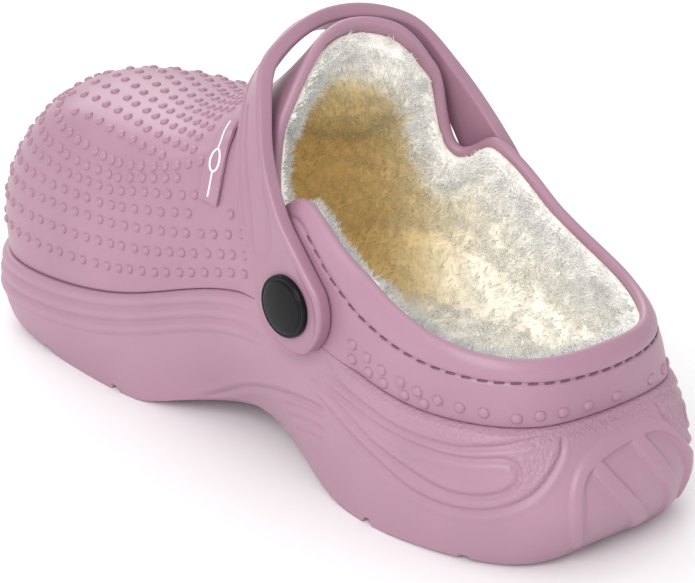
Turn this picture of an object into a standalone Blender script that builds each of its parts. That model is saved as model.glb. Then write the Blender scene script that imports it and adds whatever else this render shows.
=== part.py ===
"""Right clog slipper: moulded foam upper and sole, insole, heel strap on two rivets, vamp badge.

Metres, +Z up. +Y points to the toe and +X to the outer side of the foot.
The origin lies on the floor at the middle of the outline.
"""
import math

import bpy
import bmesh
import numpy as np

# Driving sizes, each in metres
LENGTH = 0.270
BALL_WIDTH = 0.104
SOLE_HEIGHT = 0.046
COLLAR_HEIGHT = 0.067
THROAT_HEIGHT = 0.134
THROAT_REACH = 0.133
UPPER_WALL = 0.0035
RIM_ROUND = 0.0010
LEDGE_STEP = 0.0012
LEDGE_ROUND = 0.0010
SEAM_GAP = 0.0003
BED_COVE = 0.0040
BED_LIP = 0.0014
INSOLE_THICKNESS = 0.0045
INSOLE_CLEARANCE = 0.0006
INSOLE_ROUND = 0.0012

RIB_DEPTH = 0.0010
RIB_PITCH = 0.0048
RIB_COUNT = 3
RIB_START = 0.40 * LENGTH
RIB_FULL = 0.47 * LENGTH
PANEL_STEP = 0.0010
PANEL_START = 0.02 * LENGTH
PANEL_FULL = 0.10 * LENGTH
PANEL_DROP = 0.012
PANEL_END = 0.020
LEDGE_CURVE = 1.6
SIDE_SHARES = (0.0, 0.07, 0.18, 0.32, 0.45, 0.55, 0.64, 0.72, 0.79, 0.86, 0.93, 0.97)
TREAD_FLAT_SHARE = 0.006
TREAD_INSET = 0.0060
TREAD_GROOVE_WIDTH = 0.0032
TREAD_GROOVE_DEPTH = 0.0022
TREAD_GROOVE_PLACES = (0.116, 0.246, 0.687, 0.825)
HEEL_GROOVE_PITCH = 0.015
HEEL_GROOVE_COUNT = 3

PIVOT_REACH = 0.1005
PIVOT_HEIGHT = 0.0625
PAD_INSET = 0.0073
PAD_SPREAD = BALL_WIDTH / 2 - PAD_INSET
PAD_RADIUS = 0.0190
PAD_FADE = 0.0120
STRAP_AHEAD = 0.0091
STRAP_DROP = 0.0049
STRAP_RUN = THROAT_REACH + STRAP_AHEAD - PIVOT_REACH
STRAP_CLIMB = THROAT_HEIGHT - STRAP_DROP - PIVOT_HEIGHT
STRAP_REACH = math.hypot(STRAP_RUN, STRAP_CLIMB)
STRAP_LEAN = math.atan2(STRAP_RUN, STRAP_CLIMB)
STRAP_TUCK = 0.0002
STRAP_HALF_SPAN = PAD_SPREAD - STRAP_TUCK
STRAP_THICKNESS = 0.0046
STRAP_END_RADIUS = 0.0157
STRAP_TOP_WIDTH = 0.0135
STRAP_BORDER_WIDTH = 0.0026
STRAP_BORDER_RISE = 0.0005
STRAP_BORDER_LIMIT = 0.45
STRAP_EDGE_ROUND = 0.00115
STRAP_EDGE_LIMIT = 0.2
STRAP_END_TURNS = (84, 62, 40, 20)

RIVET_HEAD_RADIUS = 0.0100
RIVET_HEAD_RISE = 0.0026
RIVET_SHANK_RADIUS = 0.0050
RIVET_WASHER_RADIUS = 0.0075
RIVET_WASHER_THICKNESS = 0.0016
RIVET_CLEARANCE = 0.0003

BADGE_WIDTH = 0.0080
BADGE_THICKNESS = 0.0012
BADGE_GAP = 0.0005

# Mesh resolution
AROUND = 76
UPPER_ROWS = 13
ACROSS = 6
STRAP_SECTIONS = 37
ROUND_STEPS = 24
OUTLINE_SAMPLES = 400
BADGE_ROWS = 9

HALF = BALL_WIDTH / 2
STATION_COUNT = 16

# Outline stations from the heel's back along the inner side to the toe and home on the outer side.
# x is a share of HALF and y of LENGTH.
# tread, edge, ledge and bed are heights, as shares of SOLE_HEIGHT.
# under and over are the insets of the bottom edge and of the ledge, as shares of HALF.
# belly is where the side is widest, as a share of the way from the bottom edge up to the ledge.
STATIONS = (
    # x, y, tread, edge, ledge, bed, under, over, belly
    (0.000, 0.000, 0.000, 0.090, 1.000, 0.740, 0.190, 0.230, 0.42),
    (-0.600, 0.048, 0.000, 0.040, 0.990, 0.720, 0.110, 0.160, 0.42),
    (-0.865, 0.185, 0.000, 0.012, 0.980, 0.700, 0.035, 0.045, 0.42),
    (-0.866, 0.330, 0.010, 0.050, 1.110, 0.660, 0.050, 0.020, 0.50),
    (-0.890, 0.478, 0.200, 0.280, 1.190, 0.570, 0.190, 0.020, 0.75),
    (-0.975, 0.640, 0.000, 0.012, 0.860, 0.410, 0.060, 0.020, 0.60),
    (-0.995, 0.798, 0.000, 0.006, 0.620, 0.370, 0.045, 0.028, 0.50),
    (-0.868, 0.937, 0.060, 0.120, 0.565, 0.390, 0.045, 0.022, 0.50),
    (-0.290, 1.000, 0.130, 0.210, 0.585, 0.430, 0.080, 0.030, 0.50),
    (0.330, 0.966, 0.060, 0.150, 0.575, 0.400, 0.070, 0.032, 0.50),
    (0.780, 0.840, 0.000, 0.022, 0.620, 0.370, 0.070, 0.028, 0.50),
    (0.985, 0.642, 0.000, 0.022, 0.850, 0.410, 0.070, 0.020, 0.60),
    (0.892, 0.470, 0.070, 0.130, 1.150, 0.570, 0.120, 0.020, 0.70),
    (0.880, 0.317, 0.005, 0.035, 1.090, 0.660, 0.060, 0.030, 0.50),
    (0.925, 0.175, 0.000, 0.012, 0.980, 0.700, 0.045, 0.070, 0.42),
    (0.735, 0.040, 0.000, 0.040, 0.990, 0.720, 0.110, 0.160, 0.42),
)

# The collar's rim on the inner side, mirrored for the outer side.
# x is a share of HALF, y of THROAT_REACH, and rise is the share of the way up
# from COLLAR_HEIGHT to THROAT_HEIGHT.
COLLAR = (
    # station, x, y, rise
    (0.00, 0.000, 0.098, 0.000),
    (1.00, -0.500, 0.158, -0.015),
    (2.00, -0.790, 0.353, 0.030),
    (3.00, -0.810, 0.632, 0.246),
    (3.50, -0.798, 0.780, 0.385),
    (3.85, -0.775, 0.850, 0.320),
    (4.15, -0.750, 0.895, 0.290),
    (4.50, -0.715, 0.920, 0.400),
    (5.00, -0.675, 0.930, 0.582),
    (6.00, -0.577, 0.942, 0.746),
    (7.00, -0.355, 0.964, 0.933),
    (8.00, 0.000, 1.000, 1.000),
)

# How each station's wall climbs from the foot line to the collar, in five steps.
# Share of the way from the foot line to the collar in plan.
CLIMB_ALONG = (
    # wall, shoulder, crown, saddle, rise
    (0.17, 0.33, 0.50, 0.67, 0.84),
    (0.17, 0.33, 0.50, 0.67, 0.84),
    (0.17, 0.33, 0.50, 0.67, 0.84),
    (0.17, 0.33, 0.50, 0.67, 0.84),
    (0.15, 0.31, 0.49, 0.66, 0.84),
    (0.07, 0.21, 0.41, 0.64, 0.84),
    (0.01, 0.09, 0.28, 0.55, 0.80),
    (-0.005, 0.065, 0.25, 0.56, 0.82),
    (0.00, 0.10, 0.29, 0.60, 0.84),
    (0.00, 0.09, 0.28, 0.57, 0.82),
    (0.02, 0.11, 0.31, 0.58, 0.81),
    (0.07, 0.21, 0.41, 0.64, 0.84),
    (0.15, 0.31, 0.49, 0.66, 0.84),
    (0.17, 0.33, 0.50, 0.67, 0.84),
    (0.17, 0.33, 0.50, 0.67, 0.84),
    (0.17, 0.33, 0.50, 0.67, 0.84),
)

# Share of the way up in height.
CLIMB_UP = (
    # wall, shoulder, crown, saddle, rise
    (0.17, 0.33, 0.50, 0.67, 0.84),
    (0.17, 0.33, 0.50, 0.67, 0.84),
    (0.17, 0.33, 0.50, 0.67, 0.84),
    (0.17, 0.33, 0.50, 0.67, 0.84),
    (0.17, 0.34, 0.51, 0.68, 0.84),
    (0.17, 0.38, 0.58, 0.75, 0.89),
    (0.18, 0.40, 0.57, 0.68, 0.82),
    (0.18, 0.39, 0.57, 0.63, 0.775),
    (0.20, 0.44, 0.585, 0.615, 0.77),
    (0.19, 0.41, 0.565, 0.61, 0.76),
    (0.17, 0.39, 0.555, 0.66, 0.82),
    (0.17, 0.38, 0.58, 0.75, 0.89),
    (0.17, 0.34, 0.51, 0.68, 0.84),
    (0.17, 0.33, 0.50, 0.67, 0.84),
    (0.17, 0.33, 0.50, 0.67, 0.84),
    (0.17, 0.33, 0.50, 0.67, 0.84),
)

# Bulge outward, as a share of HALF.
CLIMB_OUT = (
    # wall, shoulder, crown, saddle, rise
    (0.012, 0.020, 0.024, 0.022, 0.014),
    (0.012, 0.020, 0.024, 0.022, 0.014),
    (0.012, 0.020, 0.026, 0.024, 0.016),
    (0.016, 0.028, 0.034, 0.030, 0.018),
    (0.014, 0.028, 0.034, 0.028, 0.014),
    (0.006, 0.026, 0.030, 0.020, 0.006),
    (0.008, 0.028, 0.028, 0.004, 0.000),
    (0.006, 0.008, 0.004, 0.000, 0.000),
    (0.004, 0.004, 0.000, 0.000, 0.000),
    (0.004, 0.004, 0.000, 0.000, 0.000),
    (0.004, 0.014, 0.012, 0.000, 0.000),
    (0.006, 0.026, 0.030, 0.020, 0.006),
    (0.014, 0.028, 0.034, 0.028, 0.014),
    (0.016, 0.028, 0.034, 0.030, 0.018),
    (0.012, 0.020, 0.026, 0.024, 0.016),
    (0.012, 0.020, 0.024, 0.022, 0.014),
)

# The strap's loop in its own leaning plane, inner half, from its lower end to its top.
# span is a share of STRAP_HALF_SPAN out from the middle, reach a share of STRAP_REACH up from the
# pivot, and width a share of STRAP_TOP_WIDTH.
STRAP_LOOP = (
    # span, reach, width
    (1.000, 0.00, 2.326),
    (1.005, 0.19, 1.900),
    (0.990, 0.38, 1.450),
    (0.915, 0.57, 1.150),
    (0.820, 0.70, 1.060),
    (0.695, 0.83, 1.020),
    (0.540, 0.915, 1.000),
    (0.300, 0.98, 1.000),
    (0.000, 1.00, 1.000),
)

# The badge's middle line on the upper, from its lower end to its upper end.
BADGE_LINE = (
    # station, climb
    (4.85, 0.550),
    (5.25, 0.706),
    (6.35, 0.825),
)

# The rivet's washer and head, as shares of their radius and thickness.
WASHER_PROFILE = (
    # radius, depth
    (0.85, 1.0),
    (1.00, 0.6),
    (1.00, 0.0),
)
HEAD_PROFILE = (
    # radius, rise
    (1.00, 0.00),
    (1.00, 0.40),
    (0.92, 0.72),
    (0.60, 0.93),
    (0.25, 1.00),
)

PINK = (0.545, 0.325, 0.425, 1.0)
PINK_DEEP = (0.500, 0.290, 0.390, 1.0)
CREAM = (0.820, 0.760, 0.640, 1.0)
BLACK = (0.012, 0.012, 0.014, 1.0)


def natural_spline(knots, values, at):
    """Natural cubic spline through rows of values at the knots."""
    knots = np.asarray(knots, float)
    values = np.asarray(values, float)
    count = len(knots)
    gaps = np.diff(knots)
    matrix = np.eye(count)
    right = np.zeros_like(values)
    for i in range(1, count - 1):
        matrix[i, i - 1] = gaps[i - 1]
        matrix[i, i] = 2 * (gaps[i - 1] + gaps[i])
        matrix[i, i + 1] = gaps[i]
        rise = (values[i + 1] - values[i]) / gaps[i]
        fall = (values[i] - values[i - 1]) / gaps[i - 1]
        right[i] = 6 * (rise - fall)
    bend = np.linalg.solve(matrix, right)
    at = np.asarray(at, float)
    cell = np.clip(np.searchsorted(knots, at, side="right") - 1, 0, count - 2)
    width = gaps[cell][:, None]
    ahead = (at - knots[cell])[:, None] / width
    behind = 1 - ahead
    cubic = (behind ** 3 - behind) * bend[cell] + (ahead ** 3 - ahead) * bend[cell + 1]
    return behind * values[cell] + ahead * values[cell + 1] + cubic * width ** 2 / 6


def closed_spline(knots, values, at, period):
    """Cubic spline through rows of values that repeat after one period."""
    knots = np.asarray(knots, float)
    values = np.asarray(values, float)
    long_knots = np.concatenate([knots - period, knots, knots + period])
    long_values = np.concatenate([values, values, values])
    return natural_spline(long_knots, long_values, np.mod(at, period))


def smooth_step(low, high, value):
    """0 below low, 1 above high, and a soft rise between."""
    share = np.clip((value - low) / (high - low), 0, 1)
    return share * share * (3 - 2 * share)


def station_values(station):
    """The STATIONS columns at any place round the outline."""
    return closed_spline(range(STATION_COUNT), STATIONS, station, STATION_COUNT)


def outline(station):
    """Plan points of the widest outline, measured from the heel's back."""
    columns = station_values(station)
    return columns[:, :2] * (HALF, LENGTH)


def inward(station):
    """Unit vectors in plan that point from the outline to the inside."""
    step = 0.01
    run = outline(station + step) - outline(station - step)
    normal = np.stack([-run[:, 1], run[:, 0]], axis=1)
    normal /= np.linalg.norm(normal, axis=1)[:, None]
    return -normal


def press_pad(points, depth=0.0):
    """Flatten the sides round each rivet to a plane, for the strap's ends to lie on."""
    reach = np.hypot(points[:, 1] - PIVOT_REACH, points[:, 2] - PIVOT_HEIGHT)
    hold = 1 - smooth_step(PAD_RADIUS, PAD_RADIUS + PAD_FADE, reach)
    side = np.sign(points[:, 0])
    pressed = points.copy()
    pressed[:, 0] += hold * (side * (PAD_SPREAD - depth) - points[:, 0])
    return pressed


def foot_line(station, inset=0.0, lift=0.0):
    """The line where the upper stands on the ledge."""
    columns = station_values(station)
    depth = columns[:, 7] * HALF + LEDGE_STEP + inset
    plan = outline(station) + inward(station) * depth[:, None]
    height = columns[:, 4] * SOLE_HEIGHT + lift
    return press_pad(np.column_stack([plan, height]), inset)


def collar_line(station):
    """The collar's and throat's rim."""
    rows = np.array(COLLAR)
    mirrored = rows[-2:0:-1] * (-1, -1, 1, 1) + (STATION_COUNT, 0, 0, 0)
    rows = np.concatenate([rows, mirrored])
    values = closed_spline(rows[:, 0], rows[:, 1:], station, STATION_COUNT)
    height = COLLAR_HEIGHT + values[:, 2] * (THROAT_HEIGHT - COLLAR_HEIGHT)
    return np.column_stack([values[:, 0] * HALF, values[:, 1] * THROAT_REACH, height])


def upper_surface(station, climb):
    """Outer face of the upper, climb running from 0 at the foot line to 1 at the rim."""
    station = np.atleast_1d(np.asarray(station, float))
    foot = foot_line(station, lift=SEAM_GAP)
    rim = collar_line(station)
    steps = [
        closed_spline(range(STATION_COUNT), table, station, STATION_COUNT).T
        for table in (CLIMB_ALONG, CLIMB_UP, CLIMB_OUT)
    ]
    outward = -inward(station)
    knots = [foot]
    for along, up, out in zip(*steps):
        plan = foot[:, :2] + along[:, None] * (rim[:, :2] - foot[:, :2]) + out[:, None] * HALF * outward
        height = foot[:, 2] + up * (rim[:, 2] - foot[:, 2])
        knots.append(np.column_stack([plan, height]))
    knots.append(rim)
    stack = np.stack(knots)
    at = np.atleast_1d(np.asarray(climb, float))
    rows = natural_spline(np.linspace(0, 1, len(stack)), stack.reshape(len(stack), -1), at)
    rows = rows.reshape(len(at) * len(station), 3)
    return press_pad(rows).reshape(len(at), len(station), 3)


def upper_normals(station, climb):
    """Unit vectors that point out of the upper's outer face."""
    step = 0.004
    low = np.clip(np.asarray(climb) - step, 0, 1)
    high = np.clip(np.asarray(climb) + step, 0, 1)
    along_climb = upper_surface(station, high) - upper_surface(station, low)
    along_round = upper_surface(station + step, climb) - upper_surface(station - step, climb)
    normal = np.cross(along_climb, along_round)
    return normal / np.linalg.norm(normal, axis=2)[:, :, None]


def side_point(station, share):
    """Outer side of the sole, share running from 0 at the bottom edge to 1 at the ledge."""
    columns = station_values(station)
    under, over, belly = columns[:, 6], columns[:, 7], columns[:, 8]
    below = np.clip(1 - share / belly, 0, 1)
    above = np.clip((share - belly) / (1 - belly), 0, 1)
    inset = (under * below ** 2 + over * above ** LEDGE_CURVE) * HALF
    plan = outline(station) + inward(station) * inset[:, None]
    edge = np.maximum(columns[:, 3], 0)
    height = (edge + share * (columns[:, 4] - edge)) * SOLE_HEIGHT
    return np.column_stack([plan, height])


def rib_relief(points, ledge):
    """Bands round the forefoot that follow the ledge, and the raised panel on the heel's sides."""
    drop = ledge - points[:, 2]
    band = np.clip(drop / RIB_PITCH, 0, RIB_COUNT)
    wave = np.abs(np.sin(np.pi * band))
    forefoot = smooth_step(RIB_START, RIB_FULL, points[:, 1])
    ribs = RIB_DEPTH * wave * forefoot
    place = smooth_step(PANEL_START, PANEL_FULL, points[:, 1]) * (1 - forefoot)
    panel = PANEL_STEP * place * (1 - smooth_step(PANEL_DROP, PANEL_END, drop))
    return ribs + panel


def to_object(points):
    """Move points from the heel's back to the origin at the middle of the outline."""
    left = outline(np.linspace(0, STATION_COUNT, OUTLINE_SAMPLES, endpoint=False))
    middle = (left.min(axis=0) + left.max(axis=0)) / 2
    return points - (middle[0], middle[1], 0)


class Builder:
    """Collects points and faces of one closed body."""

    def __init__(self):
        self.points = []
        self.faces = []

    def add_ring(self, points):
        start = len(self.points)
        self.points.extend(map(tuple, points))
        return list(range(start, start + len(points)))

    def join(self, lower, upper, closed=True):
        """Quads between two rings, facing out when the rings run clockwise seen from above."""
        count = len(lower)
        for i in range(count if closed else count - 1):
            j = (i + 1) % count
            self.faces.append((lower[i], upper[i], upper[j], lower[j]))

    def ladder(self, ring, across, flip):
        """Close a ring from side to side with rows of quads."""
        half = len(ring) // 2
        rows = []
        for i in range(half + 1):
            near = np.array(self.points[ring[i]])
            far = np.array(self.points[ring[-i]])
            if i in (0, half):
                rows.append([ring[i]] * (across + 1))
                continue
            shares = np.linspace(0, 1, across + 1)[1:-1, None]
            inner = near + shares * (far - near)
            rows.append([ring[i]] + self.add_ring(inner) + [ring[-i]])
        for low, high in zip(rows, rows[1:]):
            for k in range(across):
                corners = [low[k], low[k + 1], high[k + 1], high[k]]
                face = [c for n, c in enumerate(corners) if c not in corners[:n]]
                self.faces.append(tuple(face if flip else reversed(face)))

    def finish(self, name, material):
        """Make the mesh and the object."""
        mesh = bpy.data.meshes.new(name)
        mesh.from_pydata(to_object(np.array(self.points)).tolist(), [], self.faces)
        work = bmesh.new()
        work.from_mesh(mesh)
        bmesh.ops.remove_doubles(work, verts=work.verts, dist=1e-6)
        bmesh.ops.recalc_face_normals(work, faces=work.faces)
        work.to_mesh(mesh)
        work.free()
        mesh.shade_smooth()
        mesh.set_sharp_from_angle(angle=math.radians(40))
        mesh.materials.append(material)
        part = bpy.data.objects.new(name, mesh)
        bpy.context.scene.collection.objects.link(part)
        return part


def plain_material(name, colour, roughness):
    """A Principled material of one colour."""
    material = bpy.data.materials.new(name)
    material.use_nodes = True
    shader = material.node_tree.nodes["Principled BSDF"]
    shader.inputs["Base Color"].default_value = colour
    shader.inputs["Roughness"].default_value = roughness
    return material


def ring_stations():
    """Evenly spread places round the outline."""
    return np.linspace(0, STATION_COUNT, AROUND, endpoint=False)


def make_upper(material):
    """Hollow moulded upper, open at the collar and underneath."""
    station = ring_stations()
    climb = np.linspace(0, 1, UPPER_ROWS)
    outer = upper_surface(station, climb)
    normals = upper_normals(station, climb)
    inner = outer - UPPER_WALL * normals
    inner[0] = foot_line(station, inset=UPPER_WALL, lift=SEAM_GAP)
    body = Builder()
    outer_rings = [body.add_ring(row) for row in outer]
    inner_rings = [body.add_ring(row) for row in inner]
    rim = (outer[-1] + inner[-1]) / 2
    rise = outer[-1] - outer[-2]
    rim += RIM_ROUND * rise / np.linalg.norm(rise, axis=1)[:, None]
    rim_ring = body.add_ring(rim)
    for low, high in zip(outer_rings, outer_rings[1:]):
        body.join(low, high)
    body.join(outer_rings[-1], rim_ring)
    body.join(rim_ring, inner_rings[-1])
    for low, high in zip(inner_rings, inner_rings[1:]):
        body.join(high, low)
    body.join(inner_rings[0], outer_rings[0])
    return body.finish("upper", material)


def bed_ring(station, inset, lift):
    """A ring on the footbed, inside the sole's wall."""
    columns = station_values(station)
    depth = columns[:, 7] * HALF + LEDGE_STEP + UPPER_WALL + inset
    plan = outline(station) + inward(station) * depth[:, None]
    return np.column_stack([plan, columns[:, 5] * SOLE_HEIGHT + lift])


def make_sole(material):
    """Cupped sole with its ledge, side ribs, footbed, arch and tread."""
    station = ring_stations()
    columns = station_values(station)
    ledge = columns[:, 4] * SOLE_HEIGHT
    outward = -inward(station)
    body = Builder()
    tread = side_point(station, 0.0)
    tread[:, :2] -= outward * TREAD_INSET
    tread[:, 2] = np.maximum(columns[:, 2] - TREAD_FLAT_SHARE, 0) * SOLE_HEIGHT
    rings = [body.add_ring(tread)]
    for share in SIDE_SHARES:
        points = side_point(station, share)
        relief = rib_relief(points, ledge)
        points[:, :2] += outward * relief[:, None]
        rings.append(body.add_ring(press_pad(points)))
    edge = side_point(station, 1.0)
    edge[:, :2] -= outward * LEDGE_ROUND
    rings.append(body.add_ring(press_pad(edge)))
    rings.append(body.add_ring(foot_line(station, inset=UPPER_WALL)))
    rings.append(body.add_ring(bed_ring(station, BED_LIP, BED_COVE)))
    rings.append(body.add_ring(bed_ring(station, BED_COVE, 0.0)))
    for low, high in zip(rings, rings[1:]):
        body.join(low, high)
    body.ladder(rings[0], ACROSS, False)
    body.ladder(rings[-1], ACROSS, True)
    return body.finish("sole", material)


def make_insole(material):
    """Soft footbed that lies in the sole's cup."""
    station = ring_stations()
    gap = BED_COVE + INSOLE_CLEARANCE
    body = Builder()
    rings = [
        body.add_ring(bed_ring(station, gap + INSOLE_ROUND, SEAM_GAP)),
        body.add_ring(bed_ring(station, gap, SEAM_GAP + INSOLE_ROUND)),
        body.add_ring(bed_ring(station, gap, INSOLE_THICKNESS - INSOLE_ROUND)),
        body.add_ring(bed_ring(station, gap + INSOLE_ROUND, INSOLE_THICKNESS)),
    ]
    for low, high in zip(rings, rings[1:]):
        body.join(low, high)
    body.ladder(rings[0], ACROSS, False)
    body.ladder(rings[-1], ACROSS, True)
    return body.finish("insole", material)


def strap_frame(place):
    """The loop's inner face at each place from 0 to 2, with its outward direction and half width."""
    inner_half = np.array(STRAP_LOOP)
    outer_half = inner_half[-2::-1] * (-1, 1, 1)
    rows = np.concatenate([inner_half, outer_half])
    knots = np.linspace(0, 2, len(rows))
    sizes = (-STRAP_HALF_SPAN, STRAP_REACH, STRAP_TOP_WIDTH / 2)
    values = natural_spline(knots, rows * sizes, place)
    step = 0.002
    run = natural_spline(knots, rows * sizes, np.asarray(place) + step) - values
    out = np.column_stack([-run[:, 1], run[:, 0]])
    out /= np.linalg.norm(out, axis=1)[:, None]
    hold = 1 - smooth_step(PAD_RADIUS, PAD_RADIUS + PAD_FADE, values[:, 1])
    side = np.where(np.asarray(place) < 1, -1.0, 1.0)
    flat = side * (PAD_SPREAD + SEAM_GAP)
    values[:, 0] += hold * (flat - values[:, 0])
    out[:, 0] += hold * (side - out[:, 0])
    out[:, 1] *= 1 - hold
    out /= np.linalg.norm(out, axis=1)[:, None]
    return values[:, 0], values[:, 1], values[:, 2], out


def strap_section(span, reach, half_width, out):
    """Ring of points round the strap, with a raised border along both edges."""
    thick = STRAP_THICKNESS
    rise = STRAP_BORDER_RISE
    rib = min(STRAP_BORDER_WIDTH, half_width * STRAP_BORDER_LIMIT)
    edge = min(STRAP_EDGE_ROUND, half_width * STRAP_EDGE_LIMIT)
    profile = (
        (-half_width + edge, 0.0),
        (-half_width, edge),
        (-half_width, thick - edge),
        (-half_width + rib / 2, thick + rise),
        (-half_width + rib, thick),
        (0.0, thick),
        (half_width - rib, thick),
        (half_width - rib / 2, thick + rise),
        (half_width, thick - edge),
        (half_width, edge),
        (half_width - edge, 0.0),
    )
    points = []
    for across, up in profile:
        plane_x = span + out[0] * up
        plane_up = reach + out[1] * up
        y = PIVOT_REACH + plane_up * math.sin(STRAP_LEAN) + across * math.cos(STRAP_LEAN)
        z = PIVOT_HEIGHT + plane_up * math.cos(STRAP_LEAN) - across * math.sin(STRAP_LEAN)
        points.append((plane_x, y, z))
    return points


def make_strap(material):
    """Heel strap swung forward over the instep, with a round end at each rivet."""
    body = Builder()
    rings = []
    turns = [math.radians(angle) for angle in STRAP_END_TURNS]
    side_x = PAD_SPREAD + SEAM_GAP
    for turn in turns:
        half_width = STRAP_END_RADIUS * math.cos(turn)
        reach = -STRAP_END_RADIUS * math.sin(turn)
        rings.append(body.add_ring(strap_section(-side_x, reach, half_width, (-1.0, 0.0))))
    for span, reach, half_width, out in zip(*strap_frame(np.linspace(0, 2, STRAP_SECTIONS))):
        rings.append(body.add_ring(strap_section(span, reach, half_width, out)))
    for turn in reversed(turns):
        half_width = STRAP_END_RADIUS * math.cos(turn)
        reach = -STRAP_END_RADIUS * math.sin(turn)
        rings.append(body.add_ring(strap_section(side_x, reach, half_width, (1.0, 0.0))))
    for low, high in zip(rings, rings[1:]):
        body.join(low, high)
    body.faces.append(tuple(rings[0]))
    body.faces.append(tuple(reversed(rings[-1])))
    return body.finish("strap", material)


def make_rivet(name, side, material):
    """Button rivet: domed head outside, shank through strap and upper, washer inside."""
    strap_face = PAD_SPREAD + SEAM_GAP + STRAP_THICKNESS + RIVET_CLEARANCE
    wall_face = PAD_SPREAD - UPPER_WALL - RIVET_CLEARANCE
    profile = [
        (radius * RIVET_WASHER_RADIUS, wall_face - depth * RIVET_WASHER_THICKNESS)
        for radius, depth in WASHER_PROFILE
    ]
    profile += [(RIVET_SHANK_RADIUS, wall_face), (RIVET_SHANK_RADIUS, strap_face)]
    profile += [
        (radius * RIVET_HEAD_RADIUS, strap_face + rise * RIVET_HEAD_RISE)
        for radius, rise in HEAD_PROFILE
    ]
    body = Builder()
    angles = np.linspace(0, 2 * math.pi, ROUND_STEPS, endpoint=False)
    rings = []
    for radius, out in profile:
        ring = np.column_stack([
            np.full(ROUND_STEPS, side * out),
            PIVOT_REACH + radius * np.cos(angles),
            PIVOT_HEIGHT + radius * np.sin(angles),
        ])
        rings.append(body.add_ring(ring))
    for low, high in zip(rings, rings[1:]):
        body.join(low, high)
    body.faces.append(tuple(rings[0]))
    body.faces.append(tuple(rings[-1]))
    return body.finish(name, material)


def on_upper(station, climb):
    """One point of the upper's outer face with its two tangents and its normal."""
    step = 0.004
    here = upper_surface(station, climb)[0, 0]
    along_round = (upper_surface(station + step, climb)[0, 0] - here) / step
    along_climb = (upper_surface(station, climb + step)[0, 0] - here) / step
    normal = np.cross(along_climb, along_round)
    return here, along_round, along_climb, normal / np.linalg.norm(normal)


def make_badge(material):
    """Bare raised strip on the vamp, in front of the strap's inner end."""
    shares = np.linspace(0, 1, BADGE_ROWS)
    line = natural_spline(np.linspace(0, 1, len(BADGE_LINE)), BADGE_LINE, shares)
    middles = np.array([on_upper(station, climb)[0] for station, climb in line])
    runs = np.gradient(middles, axis=0)
    body = Builder()
    rings = []
    for (station, climb), run in zip(line, runs):
        _, along_round, along_climb, normal = on_upper(station, climb)
        side = np.cross(normal, run)
        side *= BADGE_WIDTH / 2 / np.linalg.norm(side)
        tangents = np.column_stack([along_round, along_climb])
        move = np.linalg.lstsq(tangents, side, rcond=None)[0]
        low, high = [], []
        for share in (-1.0, 0.0, 1.0):
            foot, _, _, up = on_upper(station + share * move[0], climb + share * move[1])
            low.append(foot + up * BADGE_GAP)
            high.append(foot + up * (BADGE_GAP + BADGE_THICKNESS))
        rings.append(body.add_ring(low + high[::-1]))
    for low, high in zip(rings, rings[1:]):
        body.join(low, high)
    body.faces.append(tuple(rings[0]))
    body.faces.append(tuple(reversed(rings[-1])))
    return body.finish("badge", material)


def hide_cutter(cutter):
    """Keep a cutter out of the render."""
    cutter.hide_render = True
    cutter.display_type = "WIRE"
    return cutter


def add_cutter(name, boxes):
    """A hidden cutter made of separate boxes, each given by its low and high corner."""
    mesh = bpy.data.meshes.new(name)
    work = bmesh.new()
    for low, high in boxes:
        low = to_object(np.array([low]))[0]
        high = to_object(np.array([high]))[0]
        box = bmesh.ops.create_cube(work, size=1.0)
        for vert in box["verts"]:
            share = np.array(vert.co) + 0.5
            vert.co = low + share * (high - low)
    work.to_mesh(mesh)
    work.free()
    cutter = bpy.data.objects.new(name, mesh)
    bpy.context.scene.collection.objects.link(cutter)
    return hide_cutter(cutter)


def cut(part, cutter):
    """Subtract a cutter with an exact Boolean."""
    boolean = part.modifiers.new(cutter.name, "BOOLEAN")
    boolean.operation = "DIFFERENCE"
    boolean.solver = "EXACT"
    boolean.object = cutter


def cut_tread(sole):
    """Grooves across the tread, and short ones along it under the heel."""
    half_groove = TREAD_GROOVE_WIDTH / 2
    across = []
    for share in TREAD_GROOVE_PLACES:
        y = share * LENGTH
        low = (-BALL_WIDTH, y - half_groove, -SOLE_HEIGHT)
        across.append((low, (BALL_WIDTH, y + half_groove, TREAD_GROOVE_DEPTH)))
    along = []
    for i in range(HEEL_GROOVE_COUNT):
        x = (i - (HEEL_GROOVE_COUNT - 1) / 2) * HEEL_GROOVE_PITCH
        low = (x - half_groove, -LENGTH, -SOLE_HEIGHT)
        along.append((low, (x + half_groove, TREAD_GROOVE_PLACES[0] * LENGTH, TREAD_GROOVE_DEPTH)))
    cut(sole, add_cutter("tread_across", across))
    cut(sole, add_cutter("tread_along", along))


def cut_rivet_holes(parts):
    """One round hole for both rivets, right through the shoe."""
    body = Builder()
    angles = np.linspace(0, 2 * math.pi, ROUND_STEPS, endpoint=False)
    radius = RIVET_SHANK_RADIUS + RIVET_CLEARANCE
    rings = []
    for x in (-BALL_WIDTH, BALL_WIDTH):
        ring = np.column_stack([
            np.full(ROUND_STEPS, x),
            PIVOT_REACH + radius * np.cos(angles),
            PIVOT_HEIGHT + radius * np.sin(angles),
        ])
        rings.append(body.add_ring(ring))
    body.join(*rings)
    body.faces.append(tuple(rings[0]))
    body.faces.append(tuple(rings[-1]))
    cutter = hide_cutter(body.finish("rivet_holes", parts[0].data.materials[0]))
    for part in parts:
        cut(part, cutter)


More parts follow.
